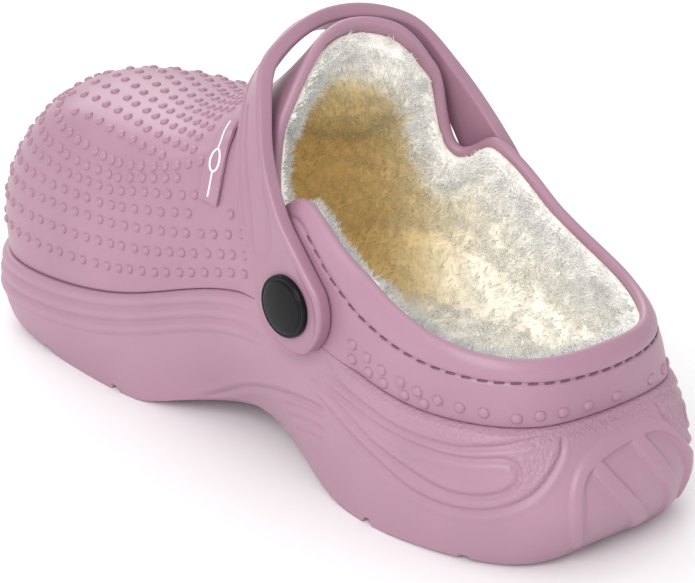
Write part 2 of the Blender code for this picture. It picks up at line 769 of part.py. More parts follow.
def main():
    for old in list(bpy.data.objects):
        bpy.data.objects.remove(old, do_unlink=True)
    pink = plain_material("moulded_pink", PINK, 0.45)
    pink_deep = plain_material("moulded_pink_sole", PINK_DEEP, 0.5)
    cream = plain_material("insole_fleece", CREAM, 0.9)
    black = plain_material("rivet_black", BLACK, 0.2)
    upper = make_upper(pink)
    sole = make_sole(pink_deep)
    make_insole(cream)
    strap = make_strap(pink)
    make_badge(pink_deep)
    make_rivet("rivet_inner", -1, black)
    make_rivet("rivet_outer", 1, black)
    cut_tread(sole)
    cut_rivet_holes((upper, strap))


main()
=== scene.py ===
"""Looks of the clog slipper: moulded foam shell, dotted vamp, ribbed sole, strap, rivets and fleece.

Metres, +Z up, +Y to the toe, +X to the outer side of the foot, origin on the floor mid shoe.
Surfaces are worked out from the heel's back, as the solids are, and moved to the origin at the end.
"""
import math

import bpy
import numpy as np
from mathutils import Matrix, Vector, noise


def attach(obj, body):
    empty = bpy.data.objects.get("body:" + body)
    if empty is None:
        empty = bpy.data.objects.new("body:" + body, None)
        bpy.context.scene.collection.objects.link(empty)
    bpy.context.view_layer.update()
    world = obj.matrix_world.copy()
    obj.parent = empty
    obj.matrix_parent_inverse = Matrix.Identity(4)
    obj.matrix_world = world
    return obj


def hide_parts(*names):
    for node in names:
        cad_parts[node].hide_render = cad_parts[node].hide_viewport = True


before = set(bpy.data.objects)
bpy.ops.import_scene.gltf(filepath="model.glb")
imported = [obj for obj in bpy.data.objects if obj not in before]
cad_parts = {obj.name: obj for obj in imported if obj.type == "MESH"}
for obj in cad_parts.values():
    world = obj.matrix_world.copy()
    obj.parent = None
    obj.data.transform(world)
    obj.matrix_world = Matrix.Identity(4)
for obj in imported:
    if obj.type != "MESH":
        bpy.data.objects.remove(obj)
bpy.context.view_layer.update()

# Driving sizes in metres, with counts and shares
LENGTH = 0.270
BALL_WIDTH = 0.104
SOLE_HEIGHT = 0.046
COLLAR_HEIGHT = 0.067
THROAT_HEIGHT = 0.134
THROAT_REACH = 0.133
UPPER_WALL = 0.0035
RIM_ROUND = 0.0010
LEDGE_STEP = 0.0012
LEDGE_ROUND = 0.0010
SEAM_GAP = 0.0003
BED_COVE = 0.0040
BED_LIP = 0.0014
INSOLE_THICKNESS = 0.0045
INSOLE_CLEARANCE = 0.0006
INSOLE_ROUND = 0.0012

RIB_DEPTH = 0.0010
RIB_PITCH = 0.0048
RIB_COUNT = 3
RIB_START = 0.40 * LENGTH
RIB_FULL = 0.47 * LENGTH
PANEL_STEP = 0.0010
PANEL_START = 0.02 * LENGTH
PANEL_FULL = 0.10 * LENGTH
PANEL_DROP = 0.012
PANEL_END = 0.020
LEDGE_CURVE = 1.6
TREAD_FLAT_SHARE = 0.006
TREAD_INSET = 0.0060
TREAD_GROOVE_WIDTH = 0.0032
TREAD_GROOVE_DEPTH = 0.0022
TREAD_GROOVE_PLACES = (0.116, 0.246, 0.687, 0.825)
HEEL_GROOVE_PITCH = 0.015
HEEL_GROOVE_COUNT = 3

PIVOT_REACH = 0.1005
PIVOT_HEIGHT = 0.0625
PAD_INSET = 0.0073
PAD_SPREAD = BALL_WIDTH / 2 - PAD_INSET
PAD_RADIUS = 0.0190
PAD_FADE = 0.0120
STRAP_AHEAD = 0.0091
STRAP_DROP = 0.0049
STRAP_RUN = THROAT_REACH + STRAP_AHEAD - PIVOT_REACH
STRAP_CLIMB = THROAT_HEIGHT - STRAP_DROP - PIVOT_HEIGHT
STRAP_REACH = math.hypot(STRAP_RUN, STRAP_CLIMB)
STRAP_LEAN = math.atan2(STRAP_RUN, STRAP_CLIMB)
STRAP_TUCK = 0.0002
STRAP_HALF_SPAN = PAD_SPREAD - STRAP_TUCK
STRAP_THICKNESS = 0.0046
STRAP_END_RADIUS = 0.0157
STRAP_TOP_WIDTH = 0.0135
STRAP_BORDER_WIDTH = 0.0026
STRAP_BORDER_RISE = 0.0005
STRAP_BORDER_LIMIT = 0.45
STRAP_EDGE_ROUND = 0.00115
STRAP_EDGE_LIMIT = 0.2

RIVET_HEAD_RADIUS = 0.0100
RIVET_HEAD_RISE = 0.0026
RIVET_SHANK_RADIUS = 0.0050
RIVET_WASHER_RADIUS = 0.0075
RIVET_WASHER_THICKNESS = 0.0016
RIVET_CLEARANCE = 0.0003

BADGE_WIDTH = 0.0080
BADGE_THICKNESS = 0.0012
BADGE_GAP = 0.0005

HALF = BALL_WIDTH / 2
OUTLINE_SAMPLES = 400
STATION_COUNT = 16

# Outline stations from the heel's back along the inner side to the toe and home on the outer side.
# x is a share of HALF and y of LENGTH.
# tread, edge, ledge and bed are heights, as shares of SOLE_HEIGHT.
# under and over are the insets of the bottom edge and of the ledge, as shares of HALF.
# belly is where the side is widest, as a share of the way from the bottom edge up to the ledge.
STATIONS = (
    # x, y, tread, edge, ledge, bed, under, over, belly
    (0.000, 0.000, 0.000, 0.090, 1.000, 0.740, 0.190, 0.230, 0.42),
    (-0.600, 0.048, 0.000, 0.040, 0.990, 0.720, 0.110, 0.160, 0.42),
    (-0.865, 0.185, 0.000, 0.012, 0.980, 0.700, 0.035, 0.045, 0.42),
    (-0.866, 0.330, 0.010, 0.050, 1.110, 0.660, 0.050, 0.020, 0.50),
    (-0.890, 0.478, 0.200, 0.280, 1.190, 0.570, 0.190, 0.020, 0.75),
    (-0.975, 0.640, 0.000, 0.012, 0.860, 0.410, 0.060, 0.020, 0.60),
    (-0.995, 0.798, 0.000, 0.006, 0.620, 0.370, 0.045, 0.028, 0.50),
    (-0.868, 0.937, 0.060, 0.120, 0.565, 0.390, 0.045, 0.022, 0.50),
    (-0.290, 1.000, 0.130, 0.210, 0.585, 0.430, 0.080, 0.030, 0.50),
    (0.330, 0.966, 0.060, 0.150, 0.575, 0.400, 0.070, 0.032, 0.50),
    (0.780, 0.840, 0.000, 0.022, 0.620, 0.370, 0.070, 0.028, 0.50),
    (0.985, 0.642, 0.000, 0.022, 0.850, 0.410, 0.070, 0.020, 0.60),
    (0.892, 0.470, 0.070, 0.130, 1.150, 0.570, 0.120, 0.020, 0.70),
    (0.880, 0.317, 0.005, 0.035, 1.090, 0.660, 0.060, 0.030, 0.50),
    (0.925, 0.175, 0.000, 0.012, 0.980, 0.700, 0.045, 0.070, 0.42),
    (0.735, 0.040, 0.000, 0.040, 0.990, 0.720, 0.110, 0.160, 0.42),
)

# The collar's rim on the inner side, mirrored for the outer side.
# x is a share of HALF, y of THROAT_REACH, and rise is the share of the way up
# from COLLAR_HEIGHT to THROAT_HEIGHT.
COLLAR = (
    # station, x, y, rise
    (0.00, 0.000, 0.098, 0.000),
    (1.00, -0.500, 0.158, -0.015),
    (2.00, -0.790, 0.353, 0.030),
    (3.00, -0.810, 0.632, 0.246),
    (3.50, -0.798, 0.780, 0.385),
    (3.85, -0.775, 0.850, 0.320),
    (4.15, -0.750, 0.895, 0.290),
    (4.50, -0.715, 0.920, 0.400),
    (5.00, -0.675, 0.930, 0.582),
    (6.00, -0.577, 0.942, 0.746),
    (7.00, -0.355, 0.964, 0.933),
    (8.00, 0.000, 1.000, 1.000),
)

# How each station's wall climbs from the foot line to the collar, in five steps.
EVEN_CLIMB = ((0.17, 0.33, 0.50, 0.67, 0.84),)

# Share of the way from the foot line to the collar in plan.
CLIMB_ALONG = (
    # wall, shoulder, crown, saddle, rise
    *EVEN_CLIMB * 4,
    (0.15, 0.31, 0.49, 0.66, 0.84),
    (0.07, 0.21, 0.41, 0.64, 0.84),
    (0.01, 0.09, 0.28, 0.55, 0.80),
    (-0.005, 0.065, 0.25, 0.56, 0.82),
    (0.00, 0.10, 0.29, 0.60, 0.84),
    (0.00, 0.09, 0.28, 0.57, 0.82),
    (0.02, 0.11, 0.31, 0.58, 0.81),
    (0.07, 0.21, 0.41, 0.64, 0.84),
    (0.15, 0.31, 0.49, 0.66, 0.84),
    *EVEN_CLIMB * 3,
)

# Share of the way up in height.
CLIMB_UP = (
    # wall, shoulder, crown, saddle, rise
    *EVEN_CLIMB * 4,
    (0.17, 0.34, 0.51, 0.68, 0.84),
    (0.17, 0.38, 0.58, 0.75, 0.89),
    (0.18, 0.40, 0.57, 0.68, 0.82),
    (0.18, 0.39, 0.57, 0.63, 0.775),
    (0.20, 0.44, 0.585, 0.615, 0.77),
    (0.19, 0.41, 0.565, 0.61, 0.76),
    (0.17, 0.39, 0.555, 0.66, 0.82),
    (0.17, 0.38, 0.58, 0.75, 0.89),
    (0.17, 0.34, 0.51, 0.68, 0.84),
    *EVEN_CLIMB * 3,
)

# Bulge outward, as a share of HALF.
CLIMB_OUT = (
    # wall, shoulder, crown, saddle, rise
    (0.012, 0.020, 0.024, 0.022, 0.014),
    (0.012, 0.020, 0.024, 0.022, 0.014),
    (0.012, 0.020, 0.026, 0.024, 0.016),
    (0.016, 0.028, 0.034, 0.030, 0.018),
    (0.014, 0.028, 0.034, 0.028, 0.014),
    (0.006, 0.026, 0.030, 0.020, 0.006),
    (0.008, 0.028, 0.028, 0.004, 0.000),
    (0.006, 0.008, 0.004, 0.000, 0.000),
    (0.004, 0.004, 0.000, 0.000, 0.000),
    (0.004, 0.004, 0.000, 0.000, 0.000),
    (0.004, 0.014, 0.012, 0.000, 0.000),
    (0.006, 0.026, 0.030, 0.020, 0.006),
    (0.014, 0.028, 0.034, 0.028, 0.014),
    (0.016, 0.028, 0.034, 0.030, 0.018),
    (0.012, 0.020, 0.026, 0.024, 0.016),
    (0.012, 0.020, 0.024, 0.022, 0.014),
)

# The strap's loop in its own leaning plane, inner half, from its lower end to its top.
# span is a share of STRAP_HALF_SPAN out from the middle, reach a share of STRAP_REACH up from the
# pivot, and width a share of STRAP_TOP_WIDTH.
STRAP_LOOP = (
    # span, reach, width
    (1.000, 0.00, 2.326),
    (1.005, 0.19, 1.900),
    (0.990, 0.38, 1.450),
    (0.915, 0.57, 1.150),
    (0.820, 0.70, 1.060),
    (0.695, 0.83, 1.020),
    (0.540, 0.915, 1.000),
    (0.300, 0.98, 1.000),
    (0.000, 1.00, 1.000),
)

# The badge's middle line on the upper, from its lower end to its upper end.
BADGE_LINE = (
    # station, climb
    (4.84, 0.550),
    (4.94, 0.597),
    (5.11, 0.653),
    (5.34, 0.710),
    (5.74, 0.777),
    (6.22, 0.813),
    (6.49, 0.827),
)

# The rivet's washer, as shares of its radius and thickness.
WASHER_PROFILE = (
    # radius, depth
    (0.85, 1.0),
    (1.00, 0.6),
    (1.00, 0.0),
)


def natural_spline(knots, values, at):
    """Natural cubic spline through rows of values at the knots."""
    knots = np.asarray(knots, float)
    values = np.asarray(values, float)
    count = len(knots)
    gaps = np.diff(knots)
    matrix = np.eye(count)
    right = np.zeros_like(values)
    for i in range(1, count - 1):
        matrix[i, i - 1] = gaps[i - 1]
        matrix[i, i] = 2 * (gaps[i - 1] + gaps[i])
        matrix[i, i + 1] = gaps[i]
        rise = (values[i + 1] - values[i]) / gaps[i]
        fall = (values[i] - values[i - 1]) / gaps[i - 1]
        right[i] = 6 * (rise - fall)
    bend = np.linalg.solve(matrix, right)
    at = np.asarray(at, float)
    cell = np.clip(np.searchsorted(knots, at, side="right") - 1, 0, count - 2)
    width = gaps[cell][:, None]
    ahead = (at - knots[cell])[:, None] / width
    behind = 1 - ahead
    cubic = (behind ** 3 - behind) * bend[cell] + (ahead ** 3 - ahead) * bend[cell + 1]
    return behind * values[cell] + ahead * values[cell + 1] + cubic * width ** 2 / 6


def closed_spline(knots, values, at, period):
    """Cubic spline through rows of values that repeat after one period."""
    knots = np.asarray(knots, float)
    values = np.asarray(values, float)
    long_knots = np.concatenate([knots - period, knots, knots + period])
    long_values = np.concatenate([values, values, values])
    return natural_spline(long_knots, long_values, np.mod(at, period))


def smooth_step(low, high, value):
    """0 below low, 1 above high, and a soft rise between."""
    share = np.clip((value - low) / (high - low), 0, 1)
    return share * share * (3 - 2 * share)


def unit(rows):
    """Rows of vectors, each scaled to a length of one."""
    return rows / np.linalg.norm(rows, axis=-1, keepdims=True)


def station_values(station):
    """The STATIONS columns at any place round the outline."""
    return closed_spline(range(STATION_COUNT), STATIONS, station, STATION_COUNT)


def outline(station):
    """Plan points of the widest outline, measured from the heel's back."""
    columns = station_values(station)
    return columns[:, :2] * (HALF, LENGTH)


def inward(station):
    """Unit vectors in plan that point from the outline to the inside."""
    step = 0.01
    run = outline(station + step) - outline(station - step)
    return -unit(np.stack([-run[:, 1], run[:, 0]], axis=1))


def press_pad(points, depth=0.0):
    """Flatten the sides round each rivet to a plane, for the strap's ends to lie on."""
    reach = np.hypot(points[:, 1] - PIVOT_REACH, points[:, 2] - PIVOT_HEIGHT)
    hold = 1 - smooth_step(PAD_RADIUS, PAD_RADIUS + PAD_FADE, reach)
    side = np.sign(points[:, 0])
    pressed = points.copy()
    pressed[:, 0] += hold * (side * (PAD_SPREAD - depth) - points[:, 0])
    return pressed


def foot_line(station, inset=0.0, lift=0.0):
    """The line where the upper stands on the ledge."""
    columns = station_values(station)
    depth = columns[:, 7] * HALF + LEDGE_STEP + inset
    plan = outline(station) + inward(station) * depth[:, None]
    height = columns[:, 4] * SOLE_HEIGHT + lift
    return press_pad(np.column_stack([plan, height]), inset)


def collar_line(station):
    """The collar's and throat's rim."""
    rows = np.array(COLLAR)
    mirrored = rows[-2:0:-1] * (-1, -1, 1, 1) + (STATION_COUNT, 0, 0, 0)
    rows = np.concatenate([rows, mirrored])
    values = closed_spline(rows[:, 0], rows[:, 1:], station, STATION_COUNT)
    height = COLLAR_HEIGHT + values[:, 2] * (THROAT_HEIGHT - COLLAR_HEIGHT)
    return np.column_stack([values[:, 0] * HALF, values[:, 1] * THROAT_REACH, height])


def upper_surface(station, climb):
    """Outer face of the upper, climb running from 0 at the foot line to 1 at the rim."""
    station = np.atleast_1d(np.asarray(station, float))
    foot = foot_line(station, lift=SEAM_GAP)
    rim = collar_line(station)
    steps = [
        closed_spline(range(STATION_COUNT), table, station, STATION_COUNT).T
        for table in (CLIMB_ALONG, CLIMB_UP, CLIMB_OUT)
    ]
    outward = -inward(station)
    knots = [foot]
    for along, up, out in zip(*steps):
        plan = foot[:, :2] + along[:, None] * (rim[:, :2] - foot[:, :2]) + out[:, None] * HALF * outward
        height = foot[:, 2] + up * (rim[:, 2] - foot[:, 2])
        knots.append(np.column_stack([plan, height]))
    knots.append(rim)
    stack = np.stack(knots)
    at = np.atleast_1d(np.asarray(climb, float))
    rows = natural_spline(np.linspace(0, 1, len(stack)), stack.reshape(len(stack), -1), at)
    rows = rows.reshape(len(at) * len(station), 3)
    return press_pad(rows).reshape(len(at), len(station), 3)


def upper_normals(station, climb):
    """Unit vectors that point out of the upper's outer face."""
    step = 0.004
    low = np.clip(np.asarray(climb) - step, 0, 1)
    high = np.clip(np.asarray(climb) + step, 0, 1)
    along_climb = upper_surface(station, high) - upper_surface(station, low)
    along_round = upper_surface(station + step, climb) - upper_surface(station - step, climb)
    return unit(np.cross(along_climb, along_round))


def side_point(station, share):
    """Outer side of the sole, share running from 0 at the bottom edge to 1 at the ledge."""
    columns = station_values(station)
    under, over, belly = columns[:, 6], columns[:, 7], columns[:, 8]
    below = np.clip(1 - share / belly, 0, 1)
    above = np.clip((share - belly) / (1 - belly), 0, 1)
    inset = (under * below ** 2 + over * above ** LEDGE_CURVE) * HALF
    plan = outline(station) + inward(station) * inset[:, None]
    edge = np.maximum(columns[:, 3], 0)
    height = (edge + share * (columns[:, 4] - edge)) * SOLE_HEIGHT
    return np.column_stack([plan, height])


def rib_relief(points, ledge):
    """Bands round the forefoot that follow the ledge, and the raised panel on the heel's sides."""
    drop = ledge - points[:, 2]
    band = np.clip(drop / RIB_PITCH, 0, RIB_COUNT)
    wave = np.abs(np.sin(np.pi * band))
    forefoot = smooth_step(RIB_START, RIB_FULL, points[:, 1])
    ribs = RIB_DEPTH * wave * forefoot
    place = smooth_step(PANEL_START, PANEL_FULL, points[:, 1]) * (1 - forefoot)
    panel = PANEL_STEP * place * (1 - smooth_step(PANEL_DROP, PANEL_END, drop))
    return ribs + panel


def to_object(points):
    """Move points from the heel's back to the origin at the middle of the outline."""
    left = outline(np.linspace(0, STATION_COUNT, OUTLINE_SAMPLES, endpoint=False))
    middle = (left.min(axis=0) + left.max(axis=0)) / 2
    return points - (middle[0], middle[1], 0)


def bed_ring(station, inset, lift):
    """A ring on the footbed, inside the sole's wall."""
    columns = station_values(station)
    depth = columns[:, 7] * HALF + LEDGE_STEP + UPPER_WALL + inset
    plan = outline(station) + inward(station) * depth[:, None]
    return np.column_stack([plan, columns[:, 5] * SOLE_HEIGHT + lift])


def strap_frame(place):
    """The loop's inner face at each place from 0 to 2, with its outward direction and half width."""
    inner_half = np.array(STRAP_LOOP)
    outer_half = inner_half[-2::-1] * (-1, 1, 1)
    rows = np.concatenate([inner_half, outer_half])
    knots = np.linspace(0, 2, len(rows))
    sizes = (-STRAP_HALF_SPAN, STRAP_REACH, STRAP_TOP_WIDTH / 2)
    values = natural_spline(knots, rows * sizes, place)
    step = 0.002
    run = natural_spline(knots, rows * sizes, np.asarray(place) + step) - values
    out = unit(np.column_stack([-run[:, 1], run[:, 0]]))
    hold = 1 - smooth_step(PAD_RADIUS, PAD_RADIUS + PAD_FADE, values[:, 1])
    side = np.where(np.asarray(place) < 1, -1.0, 1.0)
    flat = side * (PAD_SPREAD + SEAM_GAP)
    values[:, 0] += hold * (flat - values[:, 0])
    out[:, 0] += hold * (side - out[:, 0])
    out[:, 1] *= 1 - hold
    return values[:, 0], values[:, 1], values[:, 2], unit(out)


# Looks: how finely each surface is divided
SKIN_AROUND = 400
SKIN_ROWS = 100
SKIN_INNER_ROWS = 12
RIM_STEPS = 6
SOLE_AROUND = 680
SOLE_HEEL_SHARE = 0.62
SOLE_HEEL_END = 3.4
SOLE_ROWS = 96
SOLE_ACROSS = 56
BED_ACROSS = 6
LINING_AROUND = 330
LINING_ROWS = 80
CUP_ROWS = 12
FOOTBED_AROUND = 300
FOOTBED_ACROSS = 60
FOOTBED_UNDER = 4
STRAP_ROWS = 240
STRAP_ACROSS = 40
STRAP_END_ROWS = 22
STRAP_END_STEEP = 86
STRAP_END_FLAT = 6
RIVET_SIDES = 72
DOT_SIDES = 12
STITCH_SIDES = 8
STITCH_SAMPLES = 1200
BADGE_ROWS = 41
BADGE_PROBES = 40
BADGE_LINE_STEPS = 24
BADGE_RING_STEPS = 40
DOME_SAMPLES = 60
LINE_SAMPLES = 6
SAMPLES = 400
CHART_AROUND = 960
CHART_ROWS = 240
CHART_TOP = 90

# Looks: sizes in metres and shares of what only the scene has
CUP_GAP = 0.0008
TOP_SHARE = 0.985
RELIEF_START = (0.0, 0.03)
RELIEF_END = (0.97, TOP_SHARE)
LEDGE_SHARES = (0.35, 0.75)
LEDGE_CROWN = 0.2
GROOVE_EDGE = (0.75, 1.15)
RIM_FULLNESS = 1.6
BAND_BULGE = 0.0006
BAND_POWER = 0.8
BAND_END = 3.45
BAND_FADE = 3.65
STITCH_PITCH = 0.0050
STITCH_LENGTH = 0.0032
STITCH_WIDTH = 0.00062
STITCH_GROOVE = 0.0005
STITCH_SINK = 0.00012
STITCH_SLANT = 0.10
STITCH_PROBE = 0.001
DOT_RADIUS = 0.00160
DOT_RISE = 0.00095
DOT_SINK = 0.00025
DOT_GAP = 0.0034
DOT_STRAP_ROOM = 0.003
DOT_PAD_ROOM = 0.004
DOT_BADGE_ROOM = 0.0022
HEEL_DOT_RADIUS = 0.0019
HEEL_MIRROR_FROM = 0.3
BADGE_CROWN = 1.08
BADGE_LINE_WIDTH = 0.0007
BADGE_LINE_RISE = 0.00022
BADGE_LINE_ENDS = (0.06, 0.97)
BADGE_RING_PLACE = 0.47
BADGE_RING_LONG = 0.0033
BADGE_RING_WIDE = 0.0021
BADGE_RING_WIDTH = 0.0008
LINE_WIDTH = 0.00085
LINE_DEPTH = 0.00075
LIP_RISE = 0.00035
LIP_GAP = 2.6
LIP_SPREAD = 1.4
ARCH_DEPTH = 0.5
FRAME_RISE = 0.0010
FRAME_INNER = 0.0012
FRAME_OUTER = 0.0026
BAR_INNER = 0.0020
BAR_OUTER = 0.0034
BAR_SHARE = 0.9
DOME_SINK = 0.0005
DOME_START = (-0.0335, -0.0315)
DOME_END = (0.0175, 0.0190)
DOME_TOP = (-0.0012, 0.0012)
WASHER_HOLLOW = 0.3
RIVET_EDGE = 0.07
RIVET_EDGE_LOW = 0.25
RIVET_EDGE_RISE = 0.40
RIVET_GROOVE = (0.90, 0.87)
RIVET_GROOVE_LOW = 0.30
RIVET_GROOVE_RISE = 0.35
RIVET_DOME = (0.84, 0.06)
RIVET_DOME_STEPS = 12
RIVET_DOME_FALL = 0.40
RIVET_DOME_POWER = 2.2
STRAP_CORNER = 1.2
STRAP_BORDER_EDGE = (0.75, 1.2)
STRAP_TOP_SHARE = 0.9
STRAP_STRETCH = 1.3
STRAP_LINE_WIDTH = 0.0006
STRAP_LINE_DEPTH = 0.00045
STRAP_LINE_END = 0.8
FLEECE_DEPTH = 0.0050
FLEECE_RIM_SHARE = 0.75
FLEECE_RIM_FADE = 0.0045
FLEECE_LUMP = 0.0024
FLEECE_COARSE = 0.0062
FLEECE_FINE = 0.0024
# Strength of the fleece's glow: painted light for the light that fibres pass on to each other.
FLEECE_PAINTED_GLOW = 0.22
LINING_MIX = (0.75, 0.25)
LINING_BACK_SHADE = 0.2
LUMP_FADE = 0.004
NOISE_STEPS = (7.1, 3.7, 1.9)
FOOTBED_MIX = (0.7, 0.3)
FOOTBED_LIFT = 0.0012
FOOTBED_BELLY = 0.001
FOOTBED_RIM_GAP = 0.02
PILE_WIDTH = 0.00040
PILE_LENGTH = 0.0026
PILE_END = 0.225
PILE_SEED = 7
FIBRE_TURNS = (0.0, 2.094, 4.189)
FIBRE_SIDE = (0.3, 0.5, 0.81)
WALL_START = 0.0005
WALL_FIBRES = 46000
FRINGE_FIBRES = 42000
BED_FIBRES = 34000
FRINGE_REACH = 0.0085
FRINGE_SINK = 0.5
FRINGE_OUT = 0.8
FRINGE_FADE = 0.006
FRINGE_FACING = (0.6, 0.8)
FRINGE_RISE = 0.20
FRINGE_RIM_RISE = 0.55
WALL_SAG = 0.10
BED_SINK = 0.0004
BED_RISE = 0.9
FIBRE_FACING = 0.35
SHARP_ANGLE = 50
TINY = 1e-12
UPRIGHT = np.array([0.0, 0.0, 1.0])

# How the fibres of each piece stand: how far their roots scatter sideways and up, how deep they start,
# how strongly neighbours lean together, over what size and with what seed, how much each one wanders
# by itself, and how much longer the longest are.
PILES = {
    # scatter, up_scatter, sink, lean, size, seed, wander, longer
    "fleece_pile_wall": (0.0007, 0.0007, 0.0005, 1.3, FLEECE_COARSE, 10, 0.14, 0.0018),
    "fleece_fringe": (0.0005, 0.0005, 0.0, 1.0, 0.0058, 20, 0.13, 0.0016),
    "fleece_pile_bed": (0.0008, 0.0, 0.0, 1.3, FLEECE_COARSE, 30, 0.14, 0.0020),
}

# Small sections, as shares of their half width or half length and of their rise
DOT_RINGS = (
    # radius, up
    (1.0, -0.35),
    (0.94, 0.25),
    (0.72, 0.68),
    (0.38, 0.93),
)
BADGE_PROFILE = (
    # across, up
    (-1.0, 0.0), (-1.0, 0.75), (-0.90, 1.0), (-0.45, 1.06), (0.0, BADGE_CROWN), (0.45, 1.06),
    (0.90, 1.0), (1.0, 0.75), (1.0, 0.0), (0.4, 0.0), (-0.4, 0.0),
)
BADGE_LINE_PROFILE = (
    # across, up
    (-1.0, -0.6), (-0.85, 0.5), (-0.35, 0.95), (0.35, 0.95), (0.85, 0.5), (1.0, -0.6),
)
BADGE_RING_PROFILE = (
    # across, up
    (-1.0, -0.6), (-0.7, 0.8), (0.7, 0.8), (1.0, -0.6),
)
STITCH_RINGS = (
    # along, thickness
    (-1.0, 0.15), (-0.92, 0.7), (-0.7, 1.0), (0.0, 1.08), (0.7, 1.0), (0.92, 0.7), (1.0, 0.15),
)

# Where painted shade turns the fleece golden-brown deep inside, as the start and end of a soft change in
# metres
DEEP_REACH = (0.085, 0.165)
DEEP_HEIGHT = (0.100, 0.125)
DEEP_RIM = (0.006, 0.024)
DEEP_LEAST = 0.22
DEEP_HIGH = 0.35

# Where the sole carries leather grain: under the ledge, round the side, above the swoosh
GRAIN_DROP = (0.0035, 0.0055)
GRAIN_STRIP_END = (0.125, 0.140)
GRAIN_STRIP_SHARE = 0.7
GRAIN_ABOVE = (-0.002, 0.001)
GRAIN_PANEL_END = (0.034, 0.046)

# Materials
FOAMS = {
    # name: colour, roughness, grained
    "foam_mauve": ((0.385, 0.213, 0.285, 1.0), 0.38, False),
    # The sole's colour is a little lighter than the upper's: partly its own more purple-grey tone, partly
    # painted light for its sides that face the light.
    "foam_mauve_sole_tone_and_light": ((0.395, 0.226, 0.298, 1.0), 0.42, True),
    # The strap's colour is a little darker than the upper's: painted shade for its top, which faces away
    # from the light.
    "foam_mauve_strap_painted_shade": ((0.370, 0.202, 0.272, 1.0), 0.34, False),
}
GLOSSES = {
    # name: colour, roughness
    "rivet_gloss": ((0.006, 0.006, 0.007, 1.0), 0.20),
    "badge_white": ((0.85, 0.84, 0.85, 1.0), 0.40),
}
FOAM_TONES = (0.95, 1.035)
STITCH_TONES = (0.7, 1.4)
STITCH_COLOUR = (0.150, 0.060, 0.100, 1.0)
FLOOR_COLOUR = (0.93, 0.93, 0.93, 1.0)
WHITE = (1.0, 1.0, 1.0, 1.0)

# The fleece's colour from the rim to deep under the vamp: its own white at the rim, then cream and
# golden-brown as painted shade with warm bounce light
FLEECE_COLOUR_AND_SHADE_STOPS = (
    # place, colour
    (0.00, (0.975, 0.950, 0.895, 1.0)),
    (0.35, (0.950, 0.900, 0.760, 1.0)),
    (0.70, (0.840, 0.695, 0.410, 1.0)),
    (1.00, (0.700, 0.510, 0.215, 1.0)),
)

# Camera, in radians, metres and millimetres of lens
CAMERA_TURN = -0.739352522
CAMERA_TILT = 0.436801733
CAMERA_ROLL = 0.0314697210
CAMERA_DISTANCE = 1.0002
CAMERA_LENS = 164.8
CAMERA_TARGET = (-0.01264, 0.11378, 0.05168)

# Floor and light
FLOOR_SIZE = 6.0
WORLD_STRENGTH = 0.77
LIGHTS = (
    # name, place, aim, size, power
    ("key_softbox", (-1.20, -0.60, 0.95), (0.0, 0.0, 0.05), (0.9, 0.9), 14.0),
    ("top_softbox", (-0.15, 0.20, 1.30), (0.0, 0.0, 0.03), (1.2, 1.2), 2.5),
    ("toe_softbox", (0.65, 1.55, 1.10), (0.0, 0.05, 0.06), (1.5, 0.9), 13.0),
)

# Distance of the stitch line under the rim, at stations of the inner side, mirrored for the outer.
STITCH_DROP = (
    # station, drop
    (0.00, 0.0066),
    (0.65, 0.0060),
    (1.10, 0.0056),
    (1.65, 0.0066),
    (2.20, 0.0083),
    (2.70, 0.0100),
    (3.05, 0.0092),
    (3.30, 0.0064),
    (3.45, 0.0050),
)

# Rows of dots on the inner flank and round the toe: station and distance up from the foot line,
# then the pitch along the row.
FLANK_ROWS = (
    (((4.00, 0.0075), (4.40, 0.0070), (5.00, 0.0084), (6.00, 0.0104), (8.00, 0.0120)), 0.0063),
    (((3.98, 0.0150), (4.40, 0.0156), (5.00, 0.0173), (6.00, 0.0194), (8.00, 0.0215)), 0.0063),
    (((4.12, 0.0250), (4.60, 0.0256), (5.00, 0.0267), (6.00, 0.0280), (8.00, 0.0300)), 0.0063),
    (((4.35, 0.0350), (4.80, 0.0364), (5.30, 0.0360), (6.00, 0.0352), (8.00, 0.0390)), 0.0062),
    (((4.85, 0.0450), (5.10, 0.0466), (5.60, 0.0435), (6.00, 0.0428), (8.00, 0.0480)), 0.0058),
    (((5.30, 0.0575), (5.45, 0.0555), (5.70, 0.0512), (6.05, 0.0504), (8.00, 0.0570)), 0.0055),
    (((5.45, 0.0725), (5.60, 0.0660), (5.85, 0.0600), (6.20, 0.0605), (8.00, 0.0660)), 0.0053),
)

# Rows of dots over the top, which fan out from the strap's inner end. Reach runs towards the toe.
FAN_START = 0.160
FAN_END = 0.246
FAN_MIDDLE = 0.200
FAN_FIRST = -0.0450
FAN_STEP = 0.0058
FAN_SPREAD = 0.00008
FAN_SLOPE = 0.004
FAN_TURN = 0.056
FAN_COUNT = 18
FAN_WIDE_ROW = 5
FAN_MISS = 0.0012
FAN_NEAR_PITCH = 0.0045
FAN_FAR_PITCH = 0.0084
FAN_MORE_PITCH = 0.0012
FAN_LOWEST = 0.0600
FAN_RIM_ROOM = 0.0200

# Dots on the heel's sides, inner side from the strap's end to the back.
HEEL_DOTS = (
    # station, distance up from the foot line
    (2.92, 0.0083), (2.70, 0.0084), (2.53, 0.0076), (2.36, 0.0068), (2.17, 0.0066),
    (2.00, 0.0060), (1.81, 0.0054), (1.64, 0.0048), (1.43, 0.0044), (2.88, 0.0036),
    (2.68, 0.0033), (2.50, 0.0029), (2.33, 0.0026), (2.12, 0.0026), (1.94, 0.0026),
    (1.15, 0.0032), (0.90, 0.0038), (0.60, 0.0038), (0.25, 0.0038), (-0.11, 0.0036),
)

